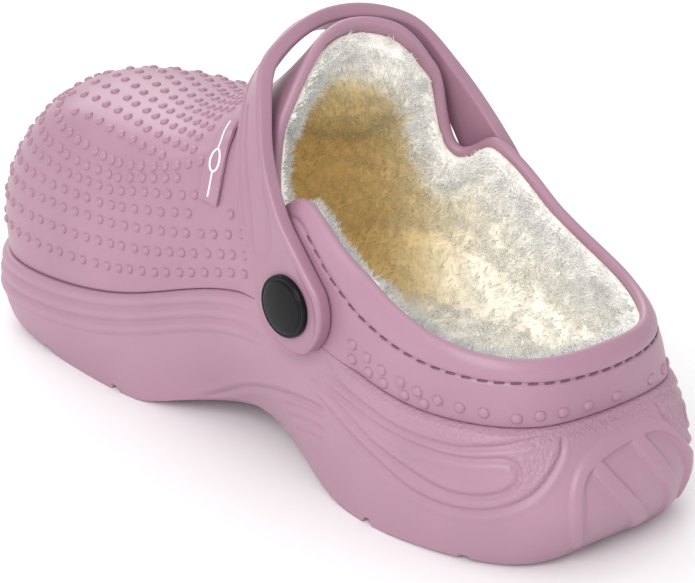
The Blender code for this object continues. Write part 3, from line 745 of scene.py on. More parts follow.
# Lines moulded into the sole's inner side, mirrored for the outer side.
# Each point is the distance round the outline from the heel's back, and the height.
SIDE_LINES = {
    "under_ledge": (
        (0.1330, 0.0485), (0.1241, 0.0459), (0.1102, 0.0434), (0.0963, 0.0407), (0.0789, 0.0380),
        (0.0645, 0.0377), (0.0545, 0.0385), (0.0388, 0.0421), (0.0235, 0.0441), (0.0000, 0.0445)),
    "leaf_top": (
        (0.1345, 0.0465), (0.1265, 0.0440), (0.1148, 0.0407), (0.1005, 0.0383), (0.0869, 0.0361),
        (0.0711, 0.0350), (0.0603, 0.0349), (0.0508, 0.0360), (0.0445, 0.0371), (0.0395, 0.0362),
        (0.0376, 0.0325), (0.0399, 0.0287), (0.0460, 0.0255), (0.0553, 0.0235), (0.0657, 0.0239),
        (0.0773, 0.0264), (0.0904, 0.0297), (0.1048, 0.0356), (0.1180, 0.0400), (0.1300, 0.0440)),
    "swoosh": (
        (0.1140, 0.0335), (0.1021, 0.0283), (0.0857, 0.0233), (0.0732, 0.0196), (0.0619, 0.0185),
        (0.0516, 0.0194), (0.0426, 0.0221), (0.0338, 0.0272), (0.0278, 0.0336), (0.0241, 0.0388),
        (0.0231, 0.0424)),
    "arch": (
        (0.1720, 0.0100), (0.1653, 0.0138), (0.1575, 0.0186), (0.1453, 0.0246), (0.1285, 0.0294),
        (0.1133, 0.0308)),
    "arch_high": ((0.1316, 0.0251), (0.1220, 0.0272), (0.1129, 0.0278)),
    "arch_mid": ((0.1285, 0.0218), (0.1200, 0.0236), (0.1129, 0.0237)),
    "arch_low": ((0.1250, 0.0180), (0.1190, 0.0196), (0.1130, 0.0198)),
}

# Raised frame and bars across the heel's back, where the distance round is signed.
DOME_FRAME = (
    (0.0165, 0.0090), (0.0185, 0.0150), (0.0195, 0.0245), (0.0178, 0.0314), (0.0134, 0.0356),
    (0.0039, 0.0385), (-0.0082, 0.0396), (-0.0180, 0.0386), (-0.0256, 0.0344), (-0.0312, 0.0275),
    (-0.0345, 0.0180), (-0.0350, 0.0090))
DOME_BARS = (
    ((0.0102, 0.0330), (0.0000, 0.0205), (-0.0112, 0.0080)),
    ((-0.0078, 0.0378), (-0.0165, 0.0250), (-0.0252, 0.0105)),
)

# How the strap's section rolls, moves in and widens from its lower end to its top.
STRAP_LAY = (
    # place, roll in degrees, shift inward as a share of the reach, width factor
    (0.00, 0.0, 0.0, 1.0),
    (0.20, -1.0, 0.001, 0.97),
    (0.40, -3.0, 0.005, 1.02),
    (0.55, -10.0, 0.009, 1.06),
    (0.70, -20.0, 0.016, 1.10),
    (0.85, -12.0, 0.020, 1.10),
    (1.00, 0.0, 0.0, 0.98),
)

# The thin line engraved in the strap's inner side: place on the loop and share of the full width.
STRAP_LINE = (
    # place, across
    (0.560, -0.42), (0.450, -0.42), (0.300, -0.36), (0.200, -0.22), (0.150, -0.08),
    (0.128, 0.10), (0.138, 0.26), (0.165, 0.30), (0.230, 0.20), (0.330, 0.12),
    (0.450, 0.10), (0.560, 0.12),
)


def linked(name, points, faces, material):
    """A mesh object from numpy points and equal-sided faces."""
    points = to_object(np.asarray(points, float).reshape(-1, 3))
    faces = np.asarray(faces, np.int32)
    mesh = bpy.data.meshes.new(name)
    mesh.vertices.add(len(points))
    mesh.vertices.foreach_set("co", points.astype(np.float32).ravel())
    mesh.loops.add(faces.size)
    mesh.loops.foreach_set("vertex_index", faces.ravel())
    mesh.polygons.add(len(faces))
    mesh.polygons.foreach_set("loop_start", np.arange(0, faces.size, faces.shape[1], dtype=np.int32))
    mesh.update(calc_edges=True)
    mesh.validate()
    mesh.shade_smooth()
    return placed(name, mesh, material)


def placed(name, mesh, material):
    """An object for a mesh, with its material, in the scene."""
    mesh.materials.append(material)
    piece = bpy.data.objects.new(name, mesh)
    bpy.context.scene.collection.objects.link(piece)
    return piece


def torus_faces(rows, columns, start=0):
    """Quads of a grid that closes on itself both ways."""
    i, j = np.meshgrid(np.arange(rows), np.arange(columns), indexing="ij")
    i2 = (i + 1) % rows
    j2 = (j + 1) % columns
    quads = np.stack([i * columns + j, i2 * columns + j, i2 * columns + j2, i * columns + j2], axis=-1)
    return start + quads.reshape(-1, 4)


def strip_faces(rows, columns, start=0):
    """Quads of a grid whose rows are closed rings."""
    i, j = np.meshgrid(np.arange(rows - 1), np.arange(columns), indexing="ij")
    j2 = (j + 1) % columns
    quads = np.stack([i * columns + j, (i + 1) * columns + j, (i + 1) * columns + j2, i * columns + j2],
                     axis=-1)
    return start + quads.reshape(-1, 4)


def end_caps(rows, columns):
    """The first and last rings of a grid as faces that close its ends."""
    last = (rows - 1) * columns
    return [tuple(range(columns)), tuple(reversed(range(last, last + columns)))]


def triangles(quads):
    """Quads as triangles, without those that have no area."""
    halves = np.concatenate([quads[:, [0, 1, 2]], quads[:, [0, 2, 3]]])
    whole = ((halves[:, 0] != halves[:, 1]) & (halves[:, 1] != halves[:, 2])
             & (halves[:, 2] != halves[:, 0]))
    return halves[whole]


def set_shade(piece, name, values):
    """Store one number per point for the materials."""
    attribute = piece.data.attributes.new(name, "FLOAT", "POINT")
    attribute.data.foreach_set("value", np.asarray(values, np.float32))


def run_lengths(grid):
    """Distance along each column of a grid of points, from its first row."""
    steps = np.linalg.norm(np.diff(grid, axis=0), axis=2)
    return np.concatenate([np.zeros((1, grid.shape[1])), np.cumsum(steps, axis=0)])


def line_run(points):
    """Distance along a line of points, from its first point."""
    return np.concatenate([[0], np.cumsum(np.linalg.norm(np.diff(points, axis=0), axis=1))])


def row_at(distance, run, rows):
    """A row of numbers between the rows of a line, at a distance along it."""
    return np.array([np.interp(distance, run, column) for column in rows.T])


def fold_station(station):
    """The station's twin on the inner side, from 0 at the heel's back to 8 at the toe."""
    turned = np.mod(station, STATION_COUNT)
    return np.minimum(turned, STATION_COUNT - turned)


def curve_points(points, count):
    """A smooth curve through points, sampled evenly in the points' count."""
    points = np.asarray(points, float)
    knots = np.arange(len(points))
    return natural_spline(knots, points, np.linspace(0, len(points) - 1, count))


def line_distance(places, points):
    """Distance of each place to a smooth line through the points, in their chart."""
    line = curve_points(points, len(points) * LINE_SAMPLES)
    best = np.full(len(places), np.inf)
    for start, end in zip(line, line[1:]):
        run = end - start
        share = np.clip(((places - start) @ run) / max(run @ run, TINY), 0, 1)
        gap = np.linalg.norm(places - start - share[:, None] * run, axis=1)
        best = np.minimum(best, gap)
    return best


def tree(name):
    """A new material with its node tree, shader and a helper that adds nodes."""
    material = bpy.data.materials.new(name)
    material.use_nodes = True
    nodes = material.node_tree.nodes
    links = material.node_tree.links
    shader = nodes["Principled BSDF"]

    def add(kind, inputs=(), **settings):
        node = nodes.new(kind)
        for key, value in settings.items():
            setattr(node, key, value)
        for key, value in dict(inputs).items():
            if isinstance(value, bpy.types.NodeSocket):
                links.new(value, node.inputs[key])
            else:
                node.inputs[key].default_value = value
        return node

    return material, shader, add, links


def blend_colours(add, links, share, low, high, target):
    """Feed a blend of two colours to a shader's socket."""
    mix = add("ShaderNodeMix", data_type="RGBA")
    inputs = {socket.identifier: socket for socket in mix.inputs}
    outputs = {socket.identifier: socket for socket in mix.outputs}
    links.new(share, inputs["Factor_Float"])
    inputs["A_Color"].default_value = low
    inputs["B_Color"].default_value = high
    links.new(outputs["Result_Color"], target)


def toned(colour, factor):
    """A colour made darker or lighter by a factor."""
    return tuple(min(part * factor, 1.0) for part in colour[:3]) + (1.0,)


def noise_at(add, place, scale, detail):
    """Smooth noise in the object's own space, from a place socket."""
    return add("ShaderNodeTexNoise", {"Vector": place, "Scale": scale, "Detail": detail}).outputs["Fac"]


def ranged(add, value, start, end, low, high):
    """A socket's value from start to end, mapped to run from low to high."""
    return add("ShaderNodeMapRange", {"Value": value, "From Min": start, "From Max": end,
                                      "To Min": low, "To Max": high}).outputs["Result"]


def foam_material(name):
    """Moulded foam: soft mottled colour, fine skin texture, and leather grain where it is marked."""
    colour, roughness, grained = FOAMS[name]
    material, shader, add, links = tree(name)
    place = add("ShaderNodeTexCoord").outputs["Object"]
    share = ranged(add, noise_at(add, place, 22.0, 3.0), 0.35, 0.65, 0.0, 1.0)
    darker, lighter = (toned(colour, tone) for tone in FOAM_TONES)
    blend_colours(add, links, share, darker, lighter, shader.inputs["Base Color"])
    shader.inputs["Roughness"].default_value = roughness
    shader.inputs["Specular IOR Level"].default_value = 0.5
    fine = noise_at(add, place, 1400.0, 2.0)
    bump = add("ShaderNodeBump", {"Height": fine, "Strength": 0.10, "Distance": 0.0002})
    if grained:
        mark = add("ShaderNodeAttribute", attribute_name="grain").outputs["Fac"]
        cells = add("ShaderNodeTexVoronoi", {"Vector": place, "Scale": 1000.0}, feature="SMOOTH_F1")
        wander = noise_at(add, place, 900.0, 3.0)
        both = add("ShaderNodeMath", {0: cells.outputs["Distance"], 1: wander}, operation="ADD")
        kept = add("ShaderNodeMath", {0: both.outputs["Value"], 1: mark}, operation="MULTIPLY")
        bump = add("ShaderNodeBump", {"Height": kept.outputs["Value"], "Normal": bump.outputs["Normal"],
                                      "Strength": 0.6, "Distance": 0.0007})
    links.new(bump.outputs["Normal"], shader.inputs["Normal"])
    return material


def fleece_material(name):
    """Soft pile: its own white near the rim; the cream on the footbed and the golden-brown deep inside are
    painted shade with warm bounce light.

    Its faint glow is painted light, standing for the light that real fibres pass on to each other.
    """
    material, shader, add, links = tree(name)
    # The depth attribute carries painted shade: the ramp turns the fleece cream and then golden-brown
    # deeper inside.
    depth = add("ShaderNodeAttribute", attribute_name="depth").outputs["Fac"]
    ramp = add("ShaderNodeValToRGB", {"Fac": depth})
    stops = ramp.color_ramp.elements
    for position, _ in FLEECE_COLOUR_AND_SHADE_STOPS[1:-1]:
        stops.new(position)
    for stop, (position, colour) in zip(stops, FLEECE_COLOUR_AND_SHADE_STOPS):
        stop.position = position
        stop.color = colour
    place = add("ShaderNodeTexCoord").outputs["Object"]
    tone = ranged(add, noise_at(add, place, 240.0, 3.0), 0.3, 0.7, 0.86, 1.04)
    shaded = add("ShaderNodeVectorMath", {0: ramp.outputs["Color"], 1: tone}, operation="MULTIPLY")
    links.new(shaded.outputs["Vector"], shader.inputs["Base Color"])
    # The fleece glows in its own colour, painted shade included: painted light.
    links.new(shaded.outputs["Vector"], shader.inputs["Emission Color"])
    shader.inputs["Emission Strength"].default_value = FLEECE_PAINTED_GLOW
    shader.inputs["Roughness"].default_value = 0.95
    shader.inputs["Specular IOR Level"].default_value = 0.1
    shader.inputs["Sheen Weight"].default_value = 0.35
    shader.inputs["Sheen Roughness"].default_value = 0.5
    fine = noise_at(add, place, 900.0, 4.0)
    bump = add("ShaderNodeBump", {"Height": fine, "Strength": 0.6, "Distance": 0.0008})
    links.new(bump.outputs["Normal"], shader.inputs["Normal"])
    return material


def gloss_material(name):
    """Glossy moulded plastic with faint smudges."""
    colour, roughness = GLOSSES[name]
    material, shader, add, links = tree(name)
    place = add("ShaderNodeTexCoord").outputs["Object"]
    smudge = noise_at(add, place, 260.0, 3.0)
    rough = ranged(add, smudge, 0.3, 0.7, roughness * 0.8, roughness * 1.3)
    links.new(rough, shader.inputs["Roughness"])
    shader.inputs["Base Color"].default_value = colour
    shader.inputs["Specular IOR Level"].default_value = 0.16
    return material


def thread_material(name, colour):
    """Moulded stitches, darker than the foam."""
    material, shader, add, links = tree(name)
    place = add("ShaderNodeTexCoord").outputs["Object"]
    dark, light = (toned(colour, tone) for tone in STITCH_TONES)
    blend_colours(add, links, noise_at(add, place, 700.0, 2.0), dark, light, shader.inputs["Base Color"])
    shader.inputs["Roughness"].default_value = 0.4
    return material


def skin_relief(station, outer):
    """How far the upper's outer face stands out: collar band and the groove for the stitches."""
    lengths = run_lengths(outer)
    below = lengths[-1] - lengths
    table = np.array(STITCH_DROP)
    folded = fold_station(station)
    drop = np.interp(folded, table[:, 0], table[:, 1])
    present = 1 - smooth_step(BAND_END, BAND_FADE, folded)
    share = np.clip(below / drop, 0, 1)
    band = BAND_BULGE * np.sin(np.pi * share) ** BAND_POWER * (below < drop)
    groove = STITCH_GROOVE * np.exp(-((below - drop) / STITCH_WIDTH) ** 2)
    return (band - groove) * present


def make_skin(material):
    """The upper's shell at full resolution, with its rounded rim."""
    station = np.linspace(0, STATION_COUNT, SKIN_AROUND, endpoint=False)
    climb = np.linspace(0, 1, SKIN_ROWS)
    outer = upper_surface(station, climb)
    normals = upper_normals(station, climb)
    relief = skin_relief(station, outer)
    shaped = outer + normals * relief[:, :, None]
    inner_climb = np.linspace(1, 0, SKIN_INNER_ROWS)
    inner_normals = upper_normals(station, inner_climb)
    inner = upper_surface(station, inner_climb) - UPPER_WALL * inner_normals
    inner[-1] = foot_line(station, inset=UPPER_WALL, lift=SEAM_GAP)
    rise = unit(outer[-1] - outer[-2])
    middle = (outer[-1] + inner[0]) / 2
    half = (outer[-1] - inner[0]) / 2
    turns = np.linspace(0, math.pi, RIM_STEPS + 2)[1:-1]
    rim = [middle + half * math.cos(turn) + rise * RIM_ROUND * RIM_FULLNESS * math.sin(turn)
           for turn in turns]
    grid = np.concatenate([shaped, np.array(rim), inner])
    rows, columns = grid.shape[:2]
    return linked("upper_skin", grid, torus_faces(rows, columns), material)


def add_domes(name, places, normals, material, radius):
    """Low round domes, sunk a little into the surface that carries them."""
    sides = DOT_SIDES
    angles = np.linspace(0, 2 * math.pi, sides, endpoint=False)
    across = np.cross(normals, UPRIGHT)
    short = np.linalg.norm(across, axis=1) < 0.1
    across[short] = np.cross(normals[short], [0.0, 1.0, 0.0])
    across = unit(across)
    along = np.cross(normals, across)
    points = []
    for share, up in DOT_RINGS:
        ring = (across[:, None, :] * np.cos(angles)[None, :, None]
                + along[:, None, :] * np.sin(angles)[None, :, None]) * radius * share
        points.append(places[:, None, :] + ring + normals[:, None, :] * DOT_RISE * up)
    top = places + normals * DOT_RISE
    base = places - normals * (DOT_SINK - DOT_RISE * DOT_RINGS[0][1])
    block = np.concatenate([np.concatenate(points, axis=1), top[:, None], base[:, None]], axis=1)
    count = block.shape[1]
    faces = []
    last = (len(DOT_RINGS) - 1) * sides
    for ring in range(0, last, sides):
        for k in range(sides):
            a = ring + k
            b = ring + (k + 1) % sides
            faces.append((a, b, b + sides))
            faces.append((a, b + sides, a + sides))
    for k in range(sides):
        faces.append((last + k, last + (k + 1) % sides, count - 2))
        faces.append(((k + 1) % sides, k, count - 1))
    faces = np.array(faces)
    starts = np.arange(len(places))[:, None, None] * count
    return linked(name, block, (faces[None] + starts).reshape(-1, 3), material)


class Chart:
    """Looks up the upper's outer face by station and distance, or from above."""

    def __init__(self):
        station = np.linspace(0, STATION_COUNT, CHART_AROUND + 1)
        climb = np.linspace(0, 1, CHART_ROWS + 1)
        self.grid = upper_surface(station, climb)
        self.lengths = run_lengths(self.grid)
        self.normals = upper_normals(station, climb)

    def column(self, station):
        """The grid's column nearest to a station."""
        return int(round(np.mod(station, STATION_COUNT) / STATION_COUNT * CHART_AROUND))

    def at(self, station, rise):
        """Points and normals at a station and a distance up from the foot line."""
        points = []
        normals = []
        for place, up in zip(station, rise):
            column = self.column(place)
            row = min(np.searchsorted(self.lengths[:, column], up), CHART_ROWS)
            points.append(self.grid[row, column])
            normals.append(self.normals[row, column])
        return np.array(points), np.array(normals)

    def under(self, x, y):
        """Points of the top under plan places, with normals and distances to the foot and rim."""
        top = self.grid[CHART_TOP:]
        flat = top.reshape(-1, 3)
        found = []
        for place in zip(x, y):
            gap = (flat[:, 0] - place[0]) ** 2 + (flat[:, 1] - place[1]) ** 2
            best = int(gap.argmin())
            row, column = divmod(best, top.shape[1])
            row += CHART_TOP
            length = self.lengths[:, column]
            found.append((self.grid[row, column], self.normals[row, column], length[row],
                          length[-1] - length[row], gap[best]))
        return found


def row_places(chart, points, pitch, start):
    """Evenly pitched places along a row of dots."""
    line = curve_points(points, SAMPLES)
    spots, normals = chart.at(line[:, 0], line[:, 1])
    run = line_run(spots)
    pick = np.searchsorted(run, np.arange(start, run[-1], pitch))
    return spots[pick], normals[pick]


def fan_places():
    """Plan places of the rows of dots that fan out over the top."""
    fan = []
    for row in range(FAN_COUNT):
        slope = FAN_SLOPE + FAN_TURN * row
        base = FAN_FIRST + FAN_STEP * row + FAN_SPREAD * row * row / 2
        near = FAN_NEAR_PITCH + min(row / FAN_WIDE_ROW, 1.0) * FAN_MORE_PITCH
        y = FAN_START
        if row % 2:
            y += FAN_NEAR_PITCH / 2
        while y < FAN_END:
            share = (y - FAN_START) / (FAN_END - FAN_START)
            fan.append((base + slope * (y - FAN_MIDDLE), y))
            y += (near + share * (FAN_FAR_PITCH - near)) / math.hypot(1, slope)
    return np.array(fan)


def make_heel_dots(chart, material):
    """Dots round the heel, the inner side's places mirrored for the outer side."""
    heel = np.array(HEEL_DOTS)
    outer = heel[heel[:, 0] > HEEL_MIRROR_FROM] * (-1, 1)
    heel = np.concatenate([heel, outer])
    spot, normal = chart.at(heel[:, 0], heel[:, 1])
    keep = clear_of_strap(spot)
    return add_domes("heel_dots", spot[keep], normal[keep], material, HEEL_DOT_RADIUS)


def make_dots(chart, material):
    """Rows of dots on the vamp, its flanks and toe."""
    places, normals = [], []
    for index, (points, pitch) in enumerate(FLANK_ROWS):
        start = pitch / 2 if index % 2 else 0.0
        mirrored = [(STATION_COUNT - station, rise) for station, rise in points]
        for row in (points, mirrored):
            spot, normal = row_places(chart, row, pitch, start)
            places.append(spot)
            normals.append(normal)
    for spot, normal, foot, rim, gap in chart.under(*fan_places().T):
        if gap < FAN_MISS ** 2 and foot > FAN_LOWEST and rim > FAN_RIM_ROOM:
            places.append(spot[None])
            normals.append(normal[None])
    places = np.concatenate(places)
    normals = np.concatenate(normals)
    keep = clear_of_strap(places)
    for index in range(1, len(places)):
        gaps = np.linalg.norm(places[:index][keep[:index]] - places[index], axis=1)
        keep[index] &= gaps.min(initial=1.0) > DOT_GAP
    return add_domes("vamp_dots", places[keep], normals[keep], material, DOT_RADIUS)


def clear_of_strap(places):
    """Which places lie outside the strap's lobes and the badge."""
    reach = np.hypot(places[:, 1] - PIVOT_REACH, places[:, 2] - PIVOT_HEIGHT)
    inside = np.abs(places[:, 0]) < PAD_SPREAD - DOT_PAD_ROOM
    clear = (reach > STRAP_END_RADIUS + DOT_STRAP_ROOM) | inside
    for point in badge_course(BADGE_PROBES)[1]:
        clear &= np.linalg.norm(places - point, axis=1) > BADGE_WIDTH / 2 + DOT_BADGE_ROOM
    return clear


def on_upper(station, climb):
    """One point of the upper's outer face with its two tangents and its normal."""
    step = 0.004
    here = upper_surface(station, climb)[0, 0]
    along_round = (upper_surface(station + step, climb)[0, 0] - here) / step
    along_climb = (upper_surface(station, climb + step)[0, 0] - here) / step
    normal = np.cross(along_climb, along_round)
    return here, along_round, along_climb, normal / np.linalg.norm(normal)


def badge_course(count):
    """Stations and climbs along the badge's middle line, and its points on the upper."""
    shares = np.linspace(0, 1, count)
    line = natural_spline(np.linspace(0, 1, len(BADGE_LINE)), BADGE_LINE, shares)
    return line, np.array([on_upper(station, climb)[0] for station, climb in line])


def make_badge(material, line_material):
    """Bare raised strip with a bevelled edge, a thin line along it and an empty oval ring."""
    line, middles = badge_course(BADGE_ROWS)
    rings = []
    frames = []
    for (station, climb), run in zip(line, np.gradient(middles, axis=0)):
        here, along_round, along_climb, normal = on_upper(station, climb)
        side = np.cross(normal, run)
        side *= BADGE_WIDTH / 2 / np.linalg.norm(side)
        move = np.linalg.lstsq(np.column_stack([along_round, along_climb]), side, rcond=None)[0]
        ring = []
        for across, up in BADGE_PROFILE:
            foot, _, _, out = on_upper(station + across * move[0], climb + across * move[1])
            ring.append(foot + out * (BADGE_GAP + up * BADGE_THICKNESS))
        rings.append(ring)
        frames.append((here + normal * (BADGE_GAP + BADGE_CROWN * BADGE_THICKNESS), side, normal))
    strip = capped_grid("badge_strip", np.array(rings), material)
    return strip, badge_marks(frames, middles, line_material)


def capped(name, points, faces, caps, material):
    """A closed body of quads with many-sided end caps."""
    mesh = bpy.data.meshes.new(name)
    mesh.from_pydata(to_object(np.asarray(points)).tolist(), [], [tuple(face) for face in faces] + caps)
    mesh.validate()
    mesh.shade_smooth()
    mesh.set_sharp_from_angle(angle=math.radians(SHARP_ANGLE))
    return placed(name, mesh, material)


def capped_grid(name, grid, material, flipped=False):
    """A closed body from rings of points, flipped where the rings run the other way round."""
    rows, columns = grid.shape[:2]
    faces = strip_faces(rows, columns)
    caps = end_caps(rows, columns)
    if flipped:
        faces = faces[:, ::-1]
        caps = [tuple(reversed(cap)) for cap in caps]
    return capped(name, grid.reshape(-1, 3), faces.tolist(), caps, material)


def tube_along(points, ups, width, rise):
    """Grid of a low half-round ribbon along a line of points, closed underneath."""
    runs = np.gradient(points, axis=0)
    sides = unit(np.cross(ups, runs))
    ring = []
    for across, up in BADGE_LINE_PROFILE:
        ring.append(points + sides * across * width / 2 + ups * up * rise)
    return np.stack(ring, axis=1)


def badge_marks(frames, middles, material):
    """The thin line along the strip, broken by an oval ring."""
    centres = np.array([here for here, _, _ in frames])
    sides = np.array([side for _, side, _ in frames]) / (BADGE_WIDTH / 2)
    normals = np.array([normal for _, _, normal in frames])
    run = line_run(middles)
    total = run[-1]
    ring_at = BADGE_RING_PLACE * total
    points, faces, caps = [], [], []

    def add(grid, make_faces):
        start = sum(len(block) for block in points)
        points.append(grid.reshape(-1, 3))
        faces.extend(make_faces(*grid.shape[:2], start).tolist())
        return start

    def place(distance, across):
        up = row_at(distance, run, normals)
        spot = row_at(distance, run, centres) + row_at(distance, run, sides) * across
        return spot, up / np.linalg.norm(up)

    stretches = ((BADGE_LINE_ENDS[0] * total, ring_at - BADGE_RING_LONG),
                 (ring_at + BADGE_RING_LONG, BADGE_LINE_ENDS[1] * total))
    for low, high in stretches:
        spots = [place(distance, 0.0) for distance in np.linspace(low, high, BADGE_LINE_STEPS)]
        line, ups = (np.array(rows) for rows in zip(*spots))
        grid = tube_along(line, ups, BADGE_LINE_WIDTH, BADGE_LINE_RISE)
        start = add(grid, strip_faces)
        rows, columns = grid.shape[:2]
        for base in (start, start + (rows - 1) * columns):
            caps.append(tuple(range(base, base + columns)))
    turns = np.linspace(0, 2 * math.pi, BADGE_RING_STEPS, endpoint=False)
    spots = [place(ring_at + BADGE_RING_LONG * math.cos(turn), BADGE_RING_WIDE * math.sin(turn))
             for turn in turns]
    line, ups = (np.array(rows) for rows in zip(*spots))
    runs = np.roll(line, -1, axis=0) - np.roll(line, 1, axis=0)
    outs = unit(np.cross(ups, runs))
    ring = [line + outs * across * (BADGE_RING_WIDTH / 2) + ups * up * BADGE_LINE_RISE
            for across, up in BADGE_RING_PROFILE]
    add(np.stack(ring, axis=1), torus_faces)
    return capped("badge_line", np.concatenate(points), faces, caps, material)


def sole_relief(points, ledge, round_distance):
    """How far the sole's side stands out: ribs, panels, moulded lines, the heel's frame and bars."""
    relief = rib_relief(points, ledge)
    folded = np.abs(round_distance)
    chart = np.column_stack([folded, points[:, 2]])
    grooves = np.zeros(len(points))
    lips = np.zeros(len(points))
    for name, line in SIDE_LINES.items():
        gap = line_distance(chart, line)
        depth = ARCH_DEPTH if name.startswith("arch_") else 1.0
        grooves = np.maximum(grooves, depth * np.exp(-(gap / LINE_WIDTH) ** 2))
        away = (gap - LIP_GAP * LINE_WIDTH) / (LIP_SPREAD * LINE_WIDTH)
        lips = np.maximum(lips, depth * np.exp(-away ** 2))
    relief += LIP_RISE * lips * (1 - grooves) - LINE_DEPTH * grooves
    signed = np.column_stack([round_distance, points[:, 2]])
    frame_gap = line_distance(signed, DOME_FRAME)
    bars = np.full(len(points), np.inf)
    for bar in DOME_BARS:
        bars = np.minimum(bars, line_distance(signed, bar))
    inside = dome_inside(signed)
    rim = 1 - smooth_step(FRAME_INNER, FRAME_OUTER, frame_gap)
    bar = (1 - smooth_step(BAR_INNER, BAR_OUTER, bars)) * inside
    raised = FRAME_RISE * np.maximum(rim, bar * BAR_SHARE)
    return relief + (raised - DOME_SINK * inside * (1 - np.maximum(rim, bar)))


def dome_inside(places):
    """1 inside the heel's frame and 0 outside, softly."""
    line = curve_points(DOME_FRAME, DOME_SAMPLES)
    order = np.argsort(line[:, 0])
    top = np.interp(places[:, 0], line[order][:, 0], line[order][:, 1])
    within = smooth_step(*DOME_START, places[:, 0]) * (1 - smooth_step(*DOME_END, places[:, 0]))
    return within * (1 - smooth_step(*DOME_TOP, places[:, 1] - top))


def grain_mark(points, ledge, round_distance):
    """Where the sole's side carries leather grain: the ledge strip and the heel's panels."""
    drop = ledge - points[:, 2]
    side = np.abs(round_distance)
    strip = (1 - smooth_step(*GRAIN_DROP, drop)) * (1 - smooth_step(*GRAIN_STRIP_END, side))
    swoosh = np.array(SIDE_LINES["swoosh"])
    order = np.argsort(swoosh[:, 0])
    lower = np.interp(side, swoosh[order][:, 0], swoosh[order][:, 1])
    above = smooth_step(*GRAIN_ABOVE, points[:, 2] - lower)
    panel = above * (1 - smooth_step(*GRAIN_PANEL_END, side))
    return np.maximum(strip * GRAIN_STRIP_SHARE, panel)


def make_sole(material):
    """Cupped sole with its moulded sides, grooved tread and footbed."""
    half = SOLE_AROUND // 2
    turn = (0, SOLE_HEEL_SHARE * half, half)
    side = np.interp(np.arange(half + 1), turn, (0, SOLE_HEEL_END, STATION_COUNT / 2))
    station = np.concatenate([side[:-1], STATION_COUNT - side[:0:-1]])
    columns = station_values(station)
    ledge = columns[:, 4] * SOLE_HEIGHT
    outward = -inward(station)
    loop = outline(station)
    step = np.linalg.norm(np.roll(loop, -1, axis=0) - loop, axis=1)
    ahead = np.concatenate([[0], np.cumsum(step)[:-1]])
    total = step.sum()
    round_distance = np.where(ahead > total / 2, ahead - total, ahead)
    rings, marks = [], []
    tread = side_point(station, 0.0)
    tread[:, :2] -= outward * TREAD_INSET
    tread[:, 2] = np.maximum(columns[:, 2] - TREAD_FLAT_SHARE, 0) * SOLE_HEIGHT
    rings.append(tread)
    marks.append(np.zeros(SOLE_AROUND))
    for share in np.linspace(0, TOP_SHARE, SOLE_ROWS):
        points = side_point(station, share)
        relief = sole_relief(points, ledge, round_distance)
        fade = smooth_step(*RELIEF_START, share) * (1 - smooth_step(*RELIEF_END, share))
        points[:, :2] += outward * (relief * fade)[:, None]
        rings.append(press_pad(points))
        marks.append(grain_mark(points, ledge, round_distance))
    edge = side_point(station, 1.0)
    target = press_pad(edge - np.column_stack([outward * LEDGE_ROUND, np.zeros(SOLE_AROUND)]))
    for share in LEDGE_SHARES:
        rounded = rings[-1] + share * (target - rings[-1])
        rounded[:, 2] += LEDGE_ROUND * LEDGE_CROWN * math.sin(math.pi * share)
        rounded[:, 2] = np.minimum(rounded[:, 2], ledge)
        rings.append(rounded)
        marks.append(marks[-1])
    rings.append(foot_line(station, inset=UPPER_WALL))
    rings.append(bed_ring(station, BED_LIP, BED_COVE))
    rings.append(bed_ring(station, BED_COVE, 0.0))
    marks.extend([np.zeros(SOLE_AROUND)] * 3)
    grid = groove_tread(np.array(rings))
    rows = len(rings)
    points = [grid.reshape(-1, 3)]
    faces = [strip_faces(rows, SOLE_AROUND)]
    offset = rows * SOLE_AROUND
    under, quads = ladder(grid[0], 0, offset, SOLE_ACROSS, False)
    points.append(groove_tread(under))
    faces.append(quads)
    offset += len(under)
    bed, quads = ladder(grid[-1], (rows - 1) * SOLE_AROUND, offset, BED_ACROSS, True)
    points.append(bed)
    faces.append(quads)
    offset += len(bed)
    piece = linked("sole_skin", np.concatenate(points), triangles(np.concatenate(faces)), material)
    set_shade(piece, "grain", np.concatenate(marks + [np.zeros(offset - rows * SOLE_AROUND)]))
    return piece


def ladder(ring, base, offset, across, flip):
    """Points and quads that close a ring from side to side. At its two ends the quads fold shut."""
    half = len(ring) // 2
    shares = np.linspace(0, 1, across + 1)[1:-1]
    inner = []
    index = np.zeros((half + 1, across + 1), int)
    index[0] = base
    index[half] = base + half
    for i in range(1, half):
        near, far = ring[i], ring[-i]
        index[i, 0] = base + i
        index[i, -1] = base + len(ring) - i
        index[i, 1:-1] = offset + len(inner) + np.arange(across - 1)
        inner.extend(near + share * (far - near) for share in shares)
    quads = []
    for i in range(half):
        for k in range(across):
            face = (index[i, k], index[i, k + 1], index[i + 1, k + 1], index[i + 1, k])
            quads.append(face if flip else face[::-1])
    return np.array(inner), np.array(quads)


def groove_tread(points):
    """Lift what lies under the tread's grooves to their depth."""
    lifted = points.copy()
    x, y, z = lifted[..., 0], lifted[..., 1], lifted[..., 2]
    half = TREAD_GROOVE_WIDTH / 2
    inner, outer = (half * share for share in GROOVE_EDGE)
    held = np.zeros(z.shape)
    for share in TREAD_GROOVE_PLACES:
        held = np.maximum(held, 1 - smooth_step(inner, outer, np.abs(y - share * LENGTH)))
    for i in range(HEEL_GROOVE_COUNT):
        middle = (i - (HEEL_GROOVE_COUNT - 1) / 2) * HEEL_GROOVE_PITCH
        line = 1 - smooth_step(inner, outer, np.abs(x - middle))
        held = np.maximum(held, line * (y < TREAD_GROOVE_PLACES[0] * LENGTH))
    lifted[..., 2] = np.maximum(z, held * TREAD_GROOVE_DEPTH)
    return lifted


def lump(points, size, seed):
    """Smooth noise at each point, from -1 to 1."""
    offset = Vector([seed * step for step in NOISE_STEPS])
    return np.array([noise.noise(Vector(point) / size + offset) for point in points.reshape(-1, 3)])


